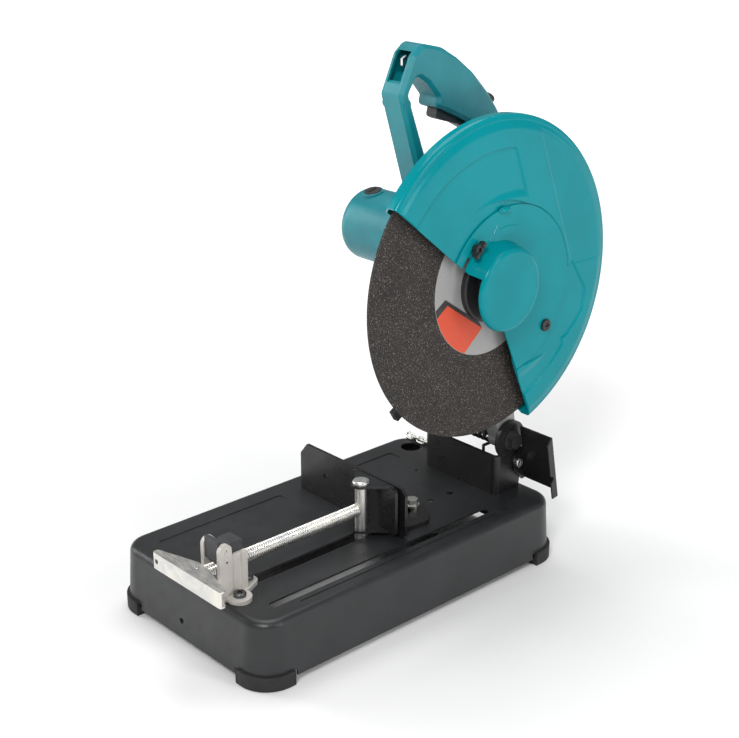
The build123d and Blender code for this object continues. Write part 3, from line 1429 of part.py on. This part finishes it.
def make_switch():
    """Switch body inside the grip, with its plunger above the trigger."""
    trigger_y, trigger_z = trigger_place()
    half = handle_half_width - handle_wall - 2.5
    body = block(handle_x - half, handle_x + half, -16, 16, 0, 13)
    body += block(handle_x - 3, handle_x + 3, -13, -8, -2, 0)
    return Pos(0, trigger_y - 14, trigger_z + 19) * Rot(-30, 0, 0) * body


def make_controls():
    """Trigger, lock button and the switch that they work."""
    trigger_y, trigger_z = trigger_place()
    side = [(-56, 24), (-59, 13), (-50, 9), (-24, 1), (-3, -10), (6, -6), (6, 6), (-4, 9), (-44, 25)]
    points = [(trigger_y + y, trigger_z + z) for y, z in side]
    radii = [3, 4, 5, 12, 4, 4, 4, 6, 4]
    finger = slab_x(points, handle_x - trigger_half, handle_x + trigger_half, radius=radii)
    hole_r = trigger_pin_r + running_fit
    parts["trigger"] = finger - rod_x(trigger_y, trigger_z, hole_r, handle_x - 20, handle_x + 20)
    button = Pos(0, 0, 2) * Cylinder(lock_button_size, 16)
    button = fillet(button.edges().group_by(Axis.Z)[-1], 2.5)
    parts["lock_button"] = at(lock_button_point(0), lock_direction(), button)


# ---------------------------------------------------------------- assembly

def build():
    """Make every piece and keep it under its name."""
    parts["base_pan"] = make_base()
    parts["corner_feet"] = make_feet()
    parts["pivot_bracket"] = make_pedestal()
    parts["pedestal_bolts"] = pedestal_bolts()
    make_pivot()
    parts["torsion_spring"] = make_spring()
    make_spark_guard()
    parts["lock_chain"] = make_chain()
    parts["guide_plate"] = make_guide()
    parts["guide_bolts"] = guide_bolts()
    parts["vise_plate"] = make_vise_plate()
    parts["vise_pin"] = make_vise_pin()
    parts["vise_screw"] = make_screw()
    make_crank()
    parts["vise_bracket"] = make_bracket()
    parts["bracket_screws"] = bracket_screws()
    parts["lever_pin"] = lever_pin()
    parts["nut_lever"] = make_nut_lever()
    parts["arm_casting"] = make_arm()
    make_depth_stop()
    parts["bearing_box"] = make_bearing_box()
    parts["case_screws"] = case_screws()
    parts["shaft_lock"] = make_shaft_lock()
    make_gears()
    make_spindle()
    make_wheel()
    parts["motor_housing"] = make_motor_housing()
    make_motor()
    parts["wheel_guard"] = make_guard()
    parts["guard_screws"] = guard_screws()
    parts["centre_cover"] = make_cover()
    cover_fasteners()
    make_handle()
    parts["handle_screws"] = handle_screws()
    make_controls()
    parts["switch_body"] = make_switch()
    parts["chain_hook"] = make_hook()
    parts["cord_inlet"] = make_cord_inlet()


build()
os.makedirs("parts", exist_ok=True)
for name, shape in parts.items():
    export_step(shape, f"parts/{name}.step")
print(len(parts), "parts; head drops", round(drop_angle, 2), "degrees")
print("spindle at", round(axle_y, 2), round(axle_z, 2), "rotor at", round(motor_y, 2), round(motor_z, 2))
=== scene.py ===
"""Looks of the abrasive chop saw: materials, small surface detail, floor, light and camera."""
import json
import math

import bmesh
import bpy
from mathutils import Matrix, Vector


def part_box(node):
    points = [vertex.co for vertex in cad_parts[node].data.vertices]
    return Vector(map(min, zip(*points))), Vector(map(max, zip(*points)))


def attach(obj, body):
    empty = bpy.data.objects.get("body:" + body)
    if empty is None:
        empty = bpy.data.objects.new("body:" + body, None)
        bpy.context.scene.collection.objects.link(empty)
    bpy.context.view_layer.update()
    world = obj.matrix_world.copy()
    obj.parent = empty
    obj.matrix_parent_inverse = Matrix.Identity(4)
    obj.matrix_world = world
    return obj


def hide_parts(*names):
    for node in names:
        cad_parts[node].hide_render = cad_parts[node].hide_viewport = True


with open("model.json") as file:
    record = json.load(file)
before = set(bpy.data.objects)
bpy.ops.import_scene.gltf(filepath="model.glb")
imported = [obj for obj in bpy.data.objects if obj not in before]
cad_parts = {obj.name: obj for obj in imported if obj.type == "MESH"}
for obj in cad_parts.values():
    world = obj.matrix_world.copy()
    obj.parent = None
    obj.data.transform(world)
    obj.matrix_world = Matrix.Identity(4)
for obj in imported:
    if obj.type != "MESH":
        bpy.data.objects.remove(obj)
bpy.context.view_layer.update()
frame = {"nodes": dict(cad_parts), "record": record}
nodes = frame["nodes"]
mm = 0.001


# ---------------------------------------------------------------- materials

class Shader:
    """Small helper that builds one node material in object coordinates, in metres."""

    def __init__(self, name):
        self.material = bpy.data.materials.new(name)
        self.material.use_nodes = True
        self.tree = self.material.node_tree
        self.out = self.tree.nodes["Principled BSDF"]
        self.coords = self.tree.nodes.new("ShaderNodeTexCoord").outputs["Object"]
        self.height = None

    def node(self, kind, inputs=None, **settings):
        new = self.tree.nodes.new(kind)
        for key, value in settings.items():
            setattr(new, key, value)
        for key, value in (inputs or {}).items():
            if isinstance(value, bpy.types.NodeSocket):
                self.tree.links.new(value, new.inputs[key])
            else:
                new.inputs[key].default_value = value
        return new

    def noise(self, scale, detail=4.0, rough=0.55, stretch=None, distortion=0.0):
        vector = self.coords
        if stretch:
            stretched = self.node("ShaderNodeVectorMath", {0: vector, 1: stretch}, operation="MULTIPLY")
            vector = stretched.outputs[0]
        return self.node("ShaderNodeTexNoise", {
            "Vector": vector, "Scale": scale, "Detail": detail, "Roughness": rough, "Distortion": distortion,
        }).outputs["Fac"]

    def voronoi(self, scale):
        return self.node("ShaderNodeTexVoronoi", {"Vector": self.coords, "Scale": scale}).outputs["Distance"]

    def ramp(self, factor, low, high, start=0.0, end=1.0):
        return self.node("ShaderNodeMapRange", {
            "Value": factor, "From Min": low, "From Max": high, "To Min": start, "To Max": end,
        }).outputs["Result"]

    def math(self, operation, a, b=0.0):
        return self.node("ShaderNodeMath", {0: a, 1: b}, operation=operation).outputs[0]

    def mix(self, factor, a, b):
        new = self.node("ShaderNodeMix", {0: factor}, data_type="RGBA")
        for socket, value in ((new.inputs[6], a), (new.inputs[7], b)):
            if isinstance(value, bpy.types.NodeSocket):
                self.tree.links.new(value, socket)
            else:
                socket.default_value = (*value, 1.0)
        return new.outputs[2]

    def edges(self, radius=0.8):
        """About 1 on sharp edges and 0 on flat faces."""
        bevel = self.node("ShaderNodeBevel", {"Radius": radius * mm}, samples=4).outputs["Normal"]
        normal = self.node("ShaderNodeNewGeometry").outputs["Normal"]
        dot = self.node("ShaderNodeVectorMath", {0: bevel, 1: normal}, operation="DOT_PRODUCT")
        return self.ramp(dot.outputs["Value"], 0.98, 0.75)

    def colour(self, value):
        if isinstance(value, bpy.types.NodeSocket):
            self.tree.links.new(value, self.out.inputs["Base Color"])
        else:
            self.out.inputs["Base Color"].default_value = (*value, 1.0)

    def rough(self, value):
        if isinstance(value, bpy.types.NodeSocket):
            self.tree.links.new(value, self.out.inputs["Roughness"])
        else:
            self.out.inputs["Roughness"].default_value = value

    def metal(self, value):
        if isinstance(value, bpy.types.NodeSocket):
            self.tree.links.new(value, self.out.inputs["Metallic"])
        else:
            self.out.inputs["Metallic"].default_value = value

    def bump(self, height, distance, strength=1.0):
        inputs = {"Height": height, "Distance": distance * mm, "Strength": strength}
        if self.height is not None:
            inputs["Normal"] = self.height
        self.height = self.node("ShaderNodeBump", inputs).outputs["Normal"]
        self.tree.links.new(self.height, self.out.inputs["Normal"])


def painted(name, dark, light, grain, depth, rough, wear_and_sheen_tone=(0.32, 0.32, 0.33), wear_and_sheen_mix=0.5, shine=0.5):
    """Powder coat or enamel: orange-peel grain, faint cloudiness, lighter edges: paint worn thin on the dark
    paints, a painted highlight in the bright teal of the guard paint.
    """
    s = Shader(name)
    cloud = s.noise(14.0, 3.0)
    base = s.mix(s.ramp(cloud, 0.35, 0.65), dark, light)
    speckle = s.ramp(s.noise(2600.0, 2.0), 0.62, 0.72)
    base = s.mix(s.math("MULTIPLY", speckle, 0.25), base, wear_and_sheen_tone)
    # Lighter edges: wear on the dark paints, painted highlight on the teal guard paint.
    rub = s.math("MULTIPLY", s.edges(), s.ramp(s.noise(160.0, 5.0), 0.48, 0.6))
    s.colour(s.mix(s.math("MULTIPLY", rub, wear_and_sheen_mix), base, wear_and_sheen_tone))
    s.rough(s.ramp(s.noise(60.0, 5.0), 0.3, 0.7, rough - 0.06, rough + 0.08))
    s.out.inputs["Specular IOR Level"].default_value = shine
    s.bump(s.noise(grain, 2.0), depth)
    return s.material


def plated(name, tint, rough, run=(1.0, 1.0, 1.0)):
    """Bright zinc plating: metal with fine draw lines, cloudy bluish and yellowish patches."""
    s = Shader(name)
    patch = s.noise(26.0, 4.0, distortion=1.2)
    warm = (tint[0], tint[1] * 0.985, tint[2] * 0.93)
    cool = tuple(0.75 * c for c in (tint[0] * 0.97, tint[1], tint[2] * 1.03))
    spots = s.ramp(s.noise(420.0, 5.0), 0.62, 0.78)
    base = s.mix(s.ramp(patch, 0.35, 0.68), warm, cool)
    s.colour(s.mix(s.math("MULTIPLY", spots, 0.35), base, (0.30, 0.29, 0.28)))
    s.metal(1.0)
    lines = s.noise(500.0, 4.0, stretch=run)
    s.rough(s.ramp(lines, 0.25, 0.75, rough - 0.08, rough + 0.14))
    s.bump(lines, 0.03)
    s.bump(s.noise(90.0, 3.0), 0.12, 0.5)
    return s.material


def moulded(name, dark, light, grain, depth, rough, edge_highlight=(0.2, 0.2, 0.2), edge_highlight_mix=0.12):
    """Moulded plastic: fine spark-eroded texture, slight colour variation, edges lightened as a painted
    highlight.
    """
    s = Shader(name)
    base = s.mix(s.ramp(s.noise(22.0, 3.0), 0.35, 0.65), dark, light)
    # Painted highlight: sharp edges are mixed toward a lighter colour.
    s.colour(s.mix(s.math("MULTIPLY", s.edges(1.0), edge_highlight_mix), base, edge_highlight))
    s.rough(s.ramp(s.noise(200.0, 4.0), 0.3, 0.7, rough - 0.05, rough + 0.07))
    s.bump(s.voronoi(grain), depth)
    s.bump(s.noise(40.0, 2.0), 0.08, 0.3)
    return s.material


def cast(name, dark, light, metal, rough):
    """Cast surface: grainy skin with small pits, brighter where it is rubbed."""
    s = Shader(name)
    base = s.mix(s.ramp(s.noise(55.0, 6.0), 0.3, 0.7), dark, light)
    rub = s.math("MULTIPLY", s.edges(), 0.35)
    s.colour(s.mix(rub, base, tuple(min(1.0, c * 1.35) for c in light)))
    s.metal(metal)
    s.rough(s.ramp(s.noise(300.0, 4.0), 0.3, 0.7, rough - 0.06, rough + 0.1))
    s.bump(s.noise(700.0, 6.0, 0.7), 0.35, 0.6)
    s.bump(s.ramp(s.voronoi(240.0), 0.0, 0.12), 0.15, 0.4)
    return s.material


def abrasive(name):
    """Resin-bonded grit: dark, sparkling grains over the faint weave of the glass cloth."""
    s = Shader(name)
    grit = s.voronoi(900.0)
    grains = s.ramp(s.noise(900.0, 2.0, 0.8), 0.62, 0.68)
    split = s.node("ShaderNodeSeparateXYZ", {"Vector": s.coords})
    y, z = split.outputs["Y"], split.outputs["Z"]
    warp = s.math("SINE", s.math("MULTIPLY", s.math("ADD", y, z), 1150.0))
    weft = s.math("SINE", s.math("MULTIPLY", s.math("SUBTRACT", y, z), 1150.0))
    weave = s.ramp(s.math("ADD", warp, weft), -0.6, 1.9)
    base = s.mix(s.ramp(s.noise(30.0, 5.0), 0.35, 0.65), (0.007, 0.0055, 0.005), (0.016, 0.0125, 0.011))
    base = s.mix(s.math("MULTIPLY", weave, 0.12), base, (0.05, 0.043, 0.038))
    s.colour(s.mix(grains, base, (0.52, 0.42, 0.34)))
    s.rough(s.ramp(grit, 0.0, 0.8, 0.35, 0.8))
    s.bump(grit, 0.7, 0.9)
    s.bump(weave, 0.10, 0.4)
    return s.material


def paper(name, tone, fibre):
    """Printed label paper, slightly rubbed."""
    s = Shader(name)
    rub = s.ramp(s.noise(75.0, 6.0, 0.7), 0.55, 0.72)
    base = s.mix(s.ramp(s.noise(700.0, 5.0), 0.3, 0.7), tone, tuple(c * 0.9 for c in tone))
    s.colour(s.mix(s.math("MULTIPLY", rub, 0.3), base, fibre))
    s.rough(s.ramp(s.noise(250.0, 4.0), 0.3, 0.7, 0.5, 0.72))
    s.bump(s.noise(1800.0, 3.0), 0.05, 0.5)
    return s.material


def laminated(name, tone, pitch):
    """Stack of punched steel sheets, or copper bars: fine lines across X."""
    s = Shader(name)
    split = s.node("ShaderNodeSeparateXYZ", {"Vector": s.coords})
    lines = s.math("SINE", s.math("MULTIPLY", split.outputs["X"], 2 * math.pi / (pitch * mm)))
    base = s.mix(s.ramp(lines, -1.0, 1.0), tuple(c * 0.6 for c in tone), tone)
    s.colour(s.mix(s.ramp(s.noise(120.0, 5.0), 0.5, 0.75, 0.0, 0.4), base, tuple(c * 0.45 for c in tone)))
    s.metal(0.9)
    s.rough(s.ramp(s.noise(300.0, 4.0), 0.3, 0.7, 0.3, 0.5))
    s.bump(lines, 0.1, 0.6)
    return s.material


MATERIALS = {
    "base_paint": painted("base_paint", (0.014, 0.015, 0.016), (0.021, 0.022, 0.024), 900.0, 0.16, 0.36,
                          wear_and_sheen_tone=(0.14, 0.14, 0.145)),
    "black_paint": painted("black_paint", (0.007, 0.007, 0.008), (0.012, 0.012, 0.013), 1100.0, 0.10, 0.30,
                           wear_and_sheen_tone=(0.10, 0.10, 0.105)),
    # Painted highlight: the guard paint's edges are mixed toward a bright teal.
    "guard_paint": painted("guard_paint", (0.0, 0.215, 0.250), (0.0, 0.245, 0.282), 260.0, 0.04, 0.15,
                           wear_and_sheen_tone=(0.0, 0.42, 0.46), wear_and_sheen_mix=0.25, shine=0.16),
    "flange_black": painted("flange_black", (0.010, 0.010, 0.011), (0.018, 0.018, 0.019), 1500.0, 0.05, 0.42),
    "rubber_black": moulded("rubber_black", (0.012, 0.012, 0.012), (0.024, 0.024, 0.023), 1600.0, 0.12, 0.72),
    "zinc_plate": plated("zinc_plate", (0.83, 0.815, 0.79), 0.32, run=(0.15, 1.0, 1.0)),
    "bright_steel": plated("bright_steel", (0.72, 0.72, 0.73), 0.22, run=(1.0, 0.2, 0.2)),
    "dark_steel": plated("dark_steel", (0.16, 0.16, 0.17), 0.38),
    "spring_steel": plated("spring_steel", (0.07, 0.07, 0.075), 0.35),
    "cast_grey": cast("cast_grey", (0.30, 0.30, 0.295), (0.40, 0.40, 0.39), 0.55, 0.45),
    "bracket_iron": cast("bracket_iron", (0.52, 0.49, 0.46), (0.62, 0.59, 0.55), 0.25, 0.5),
    "lever_plastic": moulded("lever_plastic", (0.030, 0.031, 0.034), (0.045, 0.046, 0.050),
                             1300.0, 0.10, 0.48),
    # Painted highlight: the teal plastics take a bright teal on their edges.
    "teal_plastic": moulded("teal_plastic", (0.0, 0.165, 0.20), (0.0, 0.215, 0.25), 1500.0, 0.08, 0.36,
                            edge_highlight=(0.05, 0.40, 0.44)),
    "handle_plastic": moulded("handle_plastic", (0.0, 0.165, 0.20), (0.0, 0.215, 0.25), 1500.0, 0.08, 0.36,
                              edge_highlight=(0.05, 0.40, 0.44)),
    "black_plastic": moulded("black_plastic", (0.012, 0.012, 0.013), (0.022, 0.022, 0.024),
                             1500.0, 0.08, 0.45),
    "carbon": moulded("carbon", (0.012, 0.012, 0.012), (0.03, 0.03, 0.03), 2000.0, 0.08, 0.6),
    "abrasive": abrasive("abrasive"),
    "label_paper": paper("label_paper", (0.33, 0.33, 0.325), (0.22, 0.22, 0.215)),
    "copper": laminated("copper", (0.70, 0.32, 0.16), 2.5),
    "laminations": laminated("laminations", (0.28, 0.28, 0.29), 1.0),
}

slots = {entry["node"]: entry["material_slot"] for entry in frame["record"]["subparts"]}
for name, node in nodes.items():
    material = MATERIALS[slots[name]]
    for index in range(max(1, len(node.material_slots))):
        if node.material_slots:
            node.material_slots[index].material = material
        else:
            node.data.materials.append(material)


# ---------------------------------------------------------------- mesh helpers

def middle_of(name):
    """Middle of a CAD node's box."""
    low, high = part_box(name)
    return [(a + b) / 2 for a, b in zip(low, high)]


def piece(name, mesh, body, slot, smooth=True):
    """Link a mesh as a piece that rides on a CAD body and takes a record slot's finish."""
    new = bpy.data.objects.new(name, mesh)
    bpy.context.collection.objects.link(new)
    new.data.materials.append(MATERIALS[slot])
    for polygon in mesh.polygons:
        polygon.use_smooth = smooth
    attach(new, body)
    return new


def grid_mesh(name, rows, closed_rows=False):
    """Mesh over rows of points, all of one length."""
    count = len(rows[0])
    points = [point for row in rows for point in row]
    faces = []
    for i in range(len(rows) - 1):
        below, above = i * count, (i + 1) * count
        for j in range(count - (0 if closed_rows else 1)):
            k = (j + 1) % count
            faces.append((below + j, below + k, above + k, above + j))
    mesh = bpy.data.meshes.new(name)
    mesh.from_pydata(points, [], faces)
    return mesh


def bar_mesh(name, outline, x0, x1, bevel=0.0):
    """Outline in Y and Z, extruded along X, its edges rounded by a bevel."""
    shape = bmesh.new()
    low = [shape.verts.new((x0, y, z)) for y, z in outline]
    high = [shape.verts.new((x1, y, z)) for y, z in outline]
    shape.faces.new(list(reversed(low)))
    shape.faces.new(high)
    for i in range(len(outline)):
        k = (i + 1) % len(outline)
        shape.faces.new((low[i], low[k], high[k], high[i]))
    bmesh.ops.recalc_face_normals(shape, faces=shape.faces)
    if bevel:
        edges = [e for e in shape.edges if all(v.co.x > x1 - 1e-7 for v in e.verts)]
        bmesh.ops.bevel(shape, geom=edges, offset=bevel, segments=2, affect="EDGES", profile=0.5)
    mesh = bpy.data.meshes.new(name)
    shape.to_mesh(mesh)
    shape.free()
    return mesh


def step(value, low, high):
    """Smooth step from 0 at low to 1 at high."""
    t = min(1.0, max(0.0, (value - low) / (high - low)))
    return t * t * (3 - 2 * t)


def outside(y, z, polygon):
    """Distance to a polygon's edge, negative inside it."""
    nearest, inside = 1e9, False
    for (ay, az), (by, bz) in zip(polygon, polygon[1:] + polygon[:1]):
        dy, dz = by - ay, bz - az
        t = max(0.0, min(1.0, ((y - ay) * dy + (z - az) * dz) / (dy * dy + dz * dz)))
        nearest = min(nearest, math.hypot(y - ay - t * dy, z - az - t * dz))
        if (az > z) != (bz > z) and y < ay + (z - az) * dy / dz:
            inside = not inside
    return -nearest if inside else nearest


# ---------------------------------------------------------------- pressed relief of the guard

_, AXLE_Y, AXLE_Z = middle_of("abrasive_wheel")
GUARD_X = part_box("wheel_guard")[1][0]
GUARD_R = (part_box("wheel_guard")[1][2] - AXLE_Z)
COVER_DY, COVER_DZ = 20.0, -10.5
OPENING_FRONT, OPENING_REAR = 142.5, -68.0
RELIEF = 2.35
FIELD_DROP = 0.6
POCKET = [(126.5, 3.0), (153.0, -37.0), (149.0, -62.0), (126.0, -84.0), (86.0, -101.0), (52.0, -105.0),
          (46.0, -86.0), (70.0, -81.0), (93.0, -68.0), (109.0, -48.0), (117.0, -22.0), (119.5, -2.0)]


def wedge_line(angle):
    """Edge of the guard's opening: its inner point and its direction."""
    vertex = (AXLE_Y - 6 * mm, AXLE_Z - 10 * mm)
    far = (AXLE_Y + 1.4 * GUARD_R * math.cos(math.radians(angle)),
           AXLE_Z + 1.4 * GUARD_R * math.sin(math.radians(angle)))
    length = math.hypot(far[0] - vertex[0], far[1] - vertex[1])
    return vertex, ((far[0] - vertex[0]) / length, (far[1] - vertex[1]) / length)


def edge_angle(line, radius):
    """Angle about the axle at which an edge of the opening crosses a radius."""
    (y, z), (dy, dz) = line
    y, z = y - AXLE_Y, z - AXLE_Z
    b = y * dy + z * dz
    t = -b + math.sqrt(b * b - (y * y + z * z) + radius * radius)
    return math.atan2(z + t * dz, y + t * dy)


def relief_height(y, z):
    """Height of the guard's pressed face above its recesses, in millimetres, at a point in millimetres."""
    r = math.hypot(y, z)
    disc = math.hypot(y - COVER_DY, z - COVER_DZ)
    band = step(r, 151.0, 152.9)
    slant = step((y - 24.0) * 0.935 + (z - 146.0) * 0.355, 0.0, 2.0)
    pad = 1.0 - step(disc, 104.0, 116.0)
    upper = max(band, slant, pad)
    lower = step(outside(y, z, POCKET), -0.4, 1.5)
    beyond = step((y - 76.0) * 0.93 + (z - 128.0) * 0.36, -0.4, 0.8)
    flat_field = beyond * (1 - step(r, 176, 178)) * step(z, -2.0, 0.5)
    height = RELIEF * min(upper, lower) - FIELD_DROP * flat_field * min(upper, lower)
    rim = step(r, 171.0, 184.0)
    return height * (1 - rim) - 0.25 + 0.2 * (1 - rim)


def make_relief():
    """Front face of the guard with its pressed steps, its edges turned down into the CAD face."""
    front, rear = wedge_line(OPENING_FRONT), wedge_line(OPENING_REAR)
    rows = []
    radii = [96 + 0.8 * n for n in range(111)]
    across = 560
    for radius in radii:
        r = radius * mm
        a1, a0 = edge_angle(front, r), edge_angle(rear, r)
        row = []
        for n in range(across + 1):
            angle = a0 + (a1 - a0) * n / across
            y, z = radius * math.cos(angle), radius * math.sin(angle)
            if math.hypot(y - COVER_DY, z - COVER_DZ) < 99.0:
                height = -0.3
            else:
                height = relief_height(y, z)
            row.append((GUARD_X + height * mm, AXLE_Y + y * mm, AXLE_Z + z * mm))
        for end, other in ((0, 1), (-1, -2)):
            x, y, z = row[end]
            row.insert(0 if end == 0 else len(row), (GUARD_X - 0.3 * mm, y, z))
        rows.append(row)
    piece("guard_relief", grid_mesh("guard_relief", rows), "head", "guard_paint")


def make_cover_marks():
    """Raised turning arrow and the pressed pull tab on the centre cover."""
    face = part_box("cover_screw")[1][0] - 3.5 * mm - 0.2 * mm
    outline = []
    inner, outer = 52.0, 62.0
    for n in range(13):
        a = math.radians(76 + 26 * n / 12)
        outline.append((outer * math.cos(a), outer * math.sin(a)))
    outline += [(-17.0, 66.5), (-28.5, 50.0), (-11.5, 43.0)]
    for n in range(13):
        a = math.radians(102 - 26 * n / 12)
        outline.append((inner * math.cos(a), inner * math.sin(a)))
    points = [(AXLE_Y + (y + 14) * mm, AXLE_Z + (z + 4) * mm) for y, z in outline]
    arrow = bar_mesh("cover_arrow", points, face - 0.3 * mm, face + 0.7 * mm, 0.35 * mm)
    piece("cover_arrow", arrow, "centre_cover", "guard_paint", smooth=False)
    rows = []
    ty, tz = AXLE_Y + 7.0 * mm, AXLE_Z + 86.0 * mm
    for i in range(9):
        row = []
        rise = 5.0 * math.sin(math.pi / 2 * i / 8)
        reach = 9.5 * math.cos(math.pi / 2 * i / 8)
        for j in range(17):
            a = math.pi * j / 16
            z = tz - 2 * mm + 0.55 * reach * math.sin(a) * mm
            row.append((face + rise * mm, ty + reach * math.cos(a) * mm, z))
        rows.append(row)
    tab = grid_mesh("cover_tab", rows)
    new = piece("cover_tab", tab, "centre_cover", "guard_paint")
    thick = new.modifiers.new("thick", "SOLIDIFY")
    thick.thickness = 1.2 * mm


def printed(name, worn_share, ink, rubbed):
    """Printing ink on paper, partly rubbed."""
    s = Shader(name)
    s.colour(s.mix(s.ramp(s.noise(90.0, 6.0, 0.7), 0.5, 0.72, 0.0, worn_share), ink, rubbed))
    s.rough(s.ramp(s.noise(250.0, 4.0), 0.3, 0.7, 0.42, 0.62))
    s.bump(s.noise(1800.0, 3.0), 0.04, 0.5)
    return s.material


def make_label():
    """Printed panels of the wheel's label: an orange-red panel with a dark border, both plain."""
    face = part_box("wheel_label")[1][0]
    ring = 81.6
    red = printed("label_red", 0.35, (0.62, 0.062, 0.018), (0.42, 0.10, 0.06))
    dark = printed("label_dark", 0.3, (0.022, 0.022, 0.022), (0.11, 0.11, 0.11))

    def arc(start, end, steps=14):
        angles = [math.radians(start + (end - start) * n / steps) for n in range(steps + 1)]
        return [(ring * math.cos(a), ring * math.sin(a)) for a in angles]

    panel_corners = [(-7.0, -50.6), (-62.6, -12.1)]
    border_corners = [(-62.6, -12.1), (-7.0, -50.6), (-12.0, -42.0), (-66.0, -4.5)]
    panels = {
        "label_panel": (red, arc(196.5, 245.0) + panel_corners),
        "label_border": (dark, arc(190.0, 196.5) + border_corners),
    }
    for name, (ink, outline) in panels.items():
        points = [(AXLE_Y + y * mm, AXLE_Z + z * mm) for y, z in outline]
        mesh = bar_mesh(name, points, face - 0.05 * mm, face + 0.06 * mm)
        new = piece(name, mesh, "wheel", "label_paper", smooth=False)
        new.data.materials.clear()
        new.data.materials.append(ink)


def make_screw_thread():
    """Vise screw with its real thread, in place of the plain rod."""
    low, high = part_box("vise_screw")
    x, _, z = middle_of("vise_screw")
    radius = (high[2] - low[2]) / 2
    pitch = 3.0 * mm
    around, per_turn = 32, 8
    start, end = low[1], high[1]
    neck = 7.6 * mm
    rows = []
    count = int((end - start) / (pitch / per_turn))
    for i in range(count + 1):
        y = start + (end - start) * i / count
        row = []
        for j in range(around):
            a = 2 * math.pi * j / around
            phase = (y / pitch + j / around) % 1.0
            depth = 1.55 * mm * (1 - abs(2 * phase - 1)) * 1.15
            depth = min(depth, 1.5 * mm)
            plain = step(y, end - neck - 4 * mm, end - neck - 3 * mm)
            chamfer = max(0.0, (start + 1.5 * mm - y))
            r = radius - depth * (1 - plain) - chamfer
            if y > end - neck - 1.2 * mm:
                r = radius * 0.6
            row.append((x + r * math.cos(a), y, z + r * math.sin(a)))
        rows.append(row)
    caps = []
    for end_row, at_end in ((rows[0], start), (rows[-1], end)):
        caps.append([(x + (px - x) * 0.01, at_end, z + (pz - z) * 0.01) for px, _, pz in end_row])
    rows = [caps[0], *rows, caps[1]]
    thread = grid_mesh("vise_screw_thread", rows, closed_rows=True)
    new = piece("vise_screw_thread", thread, "vise_spindle", "zinc_plate")
    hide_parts("vise_screw")


make_relief()
make_cover_marks()
make_label()
make_screw_thread()


# ---------------------------------------------------------------- floor, light and camera

def make_floor():
    """Plain pale floor that brightens away from the saw."""
    half = 60.0
    corners = [(-half, -half, 0), (half, -half, 0), (half, half, 0), (-half, half, 0)]
    mesh = bpy.data.meshes.new("floor")
    mesh.from_pydata(corners, [], [(0, 1, 2, 3)])
    floor = bpy.data.objects.new("floor", mesh)
    bpy.context.collection.objects.link(floor)
    s = Shader("floor")
    s.colour(s.mix(s.ramp(s.noise(3.0, 3.0), 0.3, 0.7), (0.86, 0.86, 0.86), (0.88, 0.88, 0.88)))
    s.rough(0.75)
    s.out.inputs["Emission Color"].default_value = (1.0, 1.0, 1.0, 1.0)
    away = s.node("ShaderNodeVectorMath", {0: s.coords}, operation="LENGTH").outputs["Value"]
    glow = s.ramp(away, 0.30, 3.0, 0.0, 0.95)
    s.tree.links.new(glow, s.out.inputs["Emission Strength"])
    floor.data.materials.append(s.material)


def area_light(name, place, target, size, power):
    """Soft rectangular light that points at a target."""
    data = bpy.data.lights.new(name, "AREA")
    data.shape = "RECTANGLE"
    data.size, data.size_y = size
    data.energy = power
    light = bpy.data.objects.new(name, data)
    light.location = place
    light.rotation_euler = (Vector(target) - Vector(place)).to_track_quat("-Z", "Y").to_euler()
    bpy.context.collection.objects.link(light)


def make_lights():
    middle = (0.0, 0.0, 0.3)
    area_light("key", (1.7, -2.5, 2.9), middle, (1.0, 1.0), 84)
    area_light("overhead", (-0.6, 0.5, 3.0), middle, (2.0, 2.0), 48)
    area_light("left", (-2.6, -1.4, 1.4), middle, (0.8, 2.0), 34)
    area_light("right", (2.7, 0.7, 1.5), middle, (0.7, 2.2), 26)
    world = bpy.data.worlds.new("world")
    world.use_nodes = True
    background = world.node_tree.nodes["Background"]
    background.inputs["Color"].default_value = (1.0, 1.0, 1.0, 1.0)
    background.inputs["Strength"].default_value = 0.24
    bpy.context.scene.world = world
    bpy.context.scene.view_settings.view_transform = "Standard"


def make_camera():
    """Camera that stands where the photograph was taken from."""
    focal_pixels, picture_width = 1455.8, 739.0
    data = bpy.data.cameras.new("camera")
    data.sensor_fit = "HORIZONTAL"
    data.sensor_width = 36.0
    data.lens = data.sensor_width * focal_pixels / picture_width
    data.clip_end = 200.0
    camera = bpy.data.objects.new("camera", data)
    yaw, pitch, roll = math.radians(47.48), math.radians(21.29), math.radians(0.13)
    tilt = Matrix.Rotation(math.pi / 2 - pitch, 3, "X")
    turn = Matrix.Rotation(yaw, 3, "Z") @ tilt @ Matrix.Rotation(roll, 3, "Z")
    camera.matrix_world = Matrix.Translation((1.1381, -1.0054, 0.8562)) @ turn.to_4x4()
    bpy.context.collection.objects.link(camera)
    bpy.context.scene.camera = camera


make_floor()
make_lights()
make_camera()
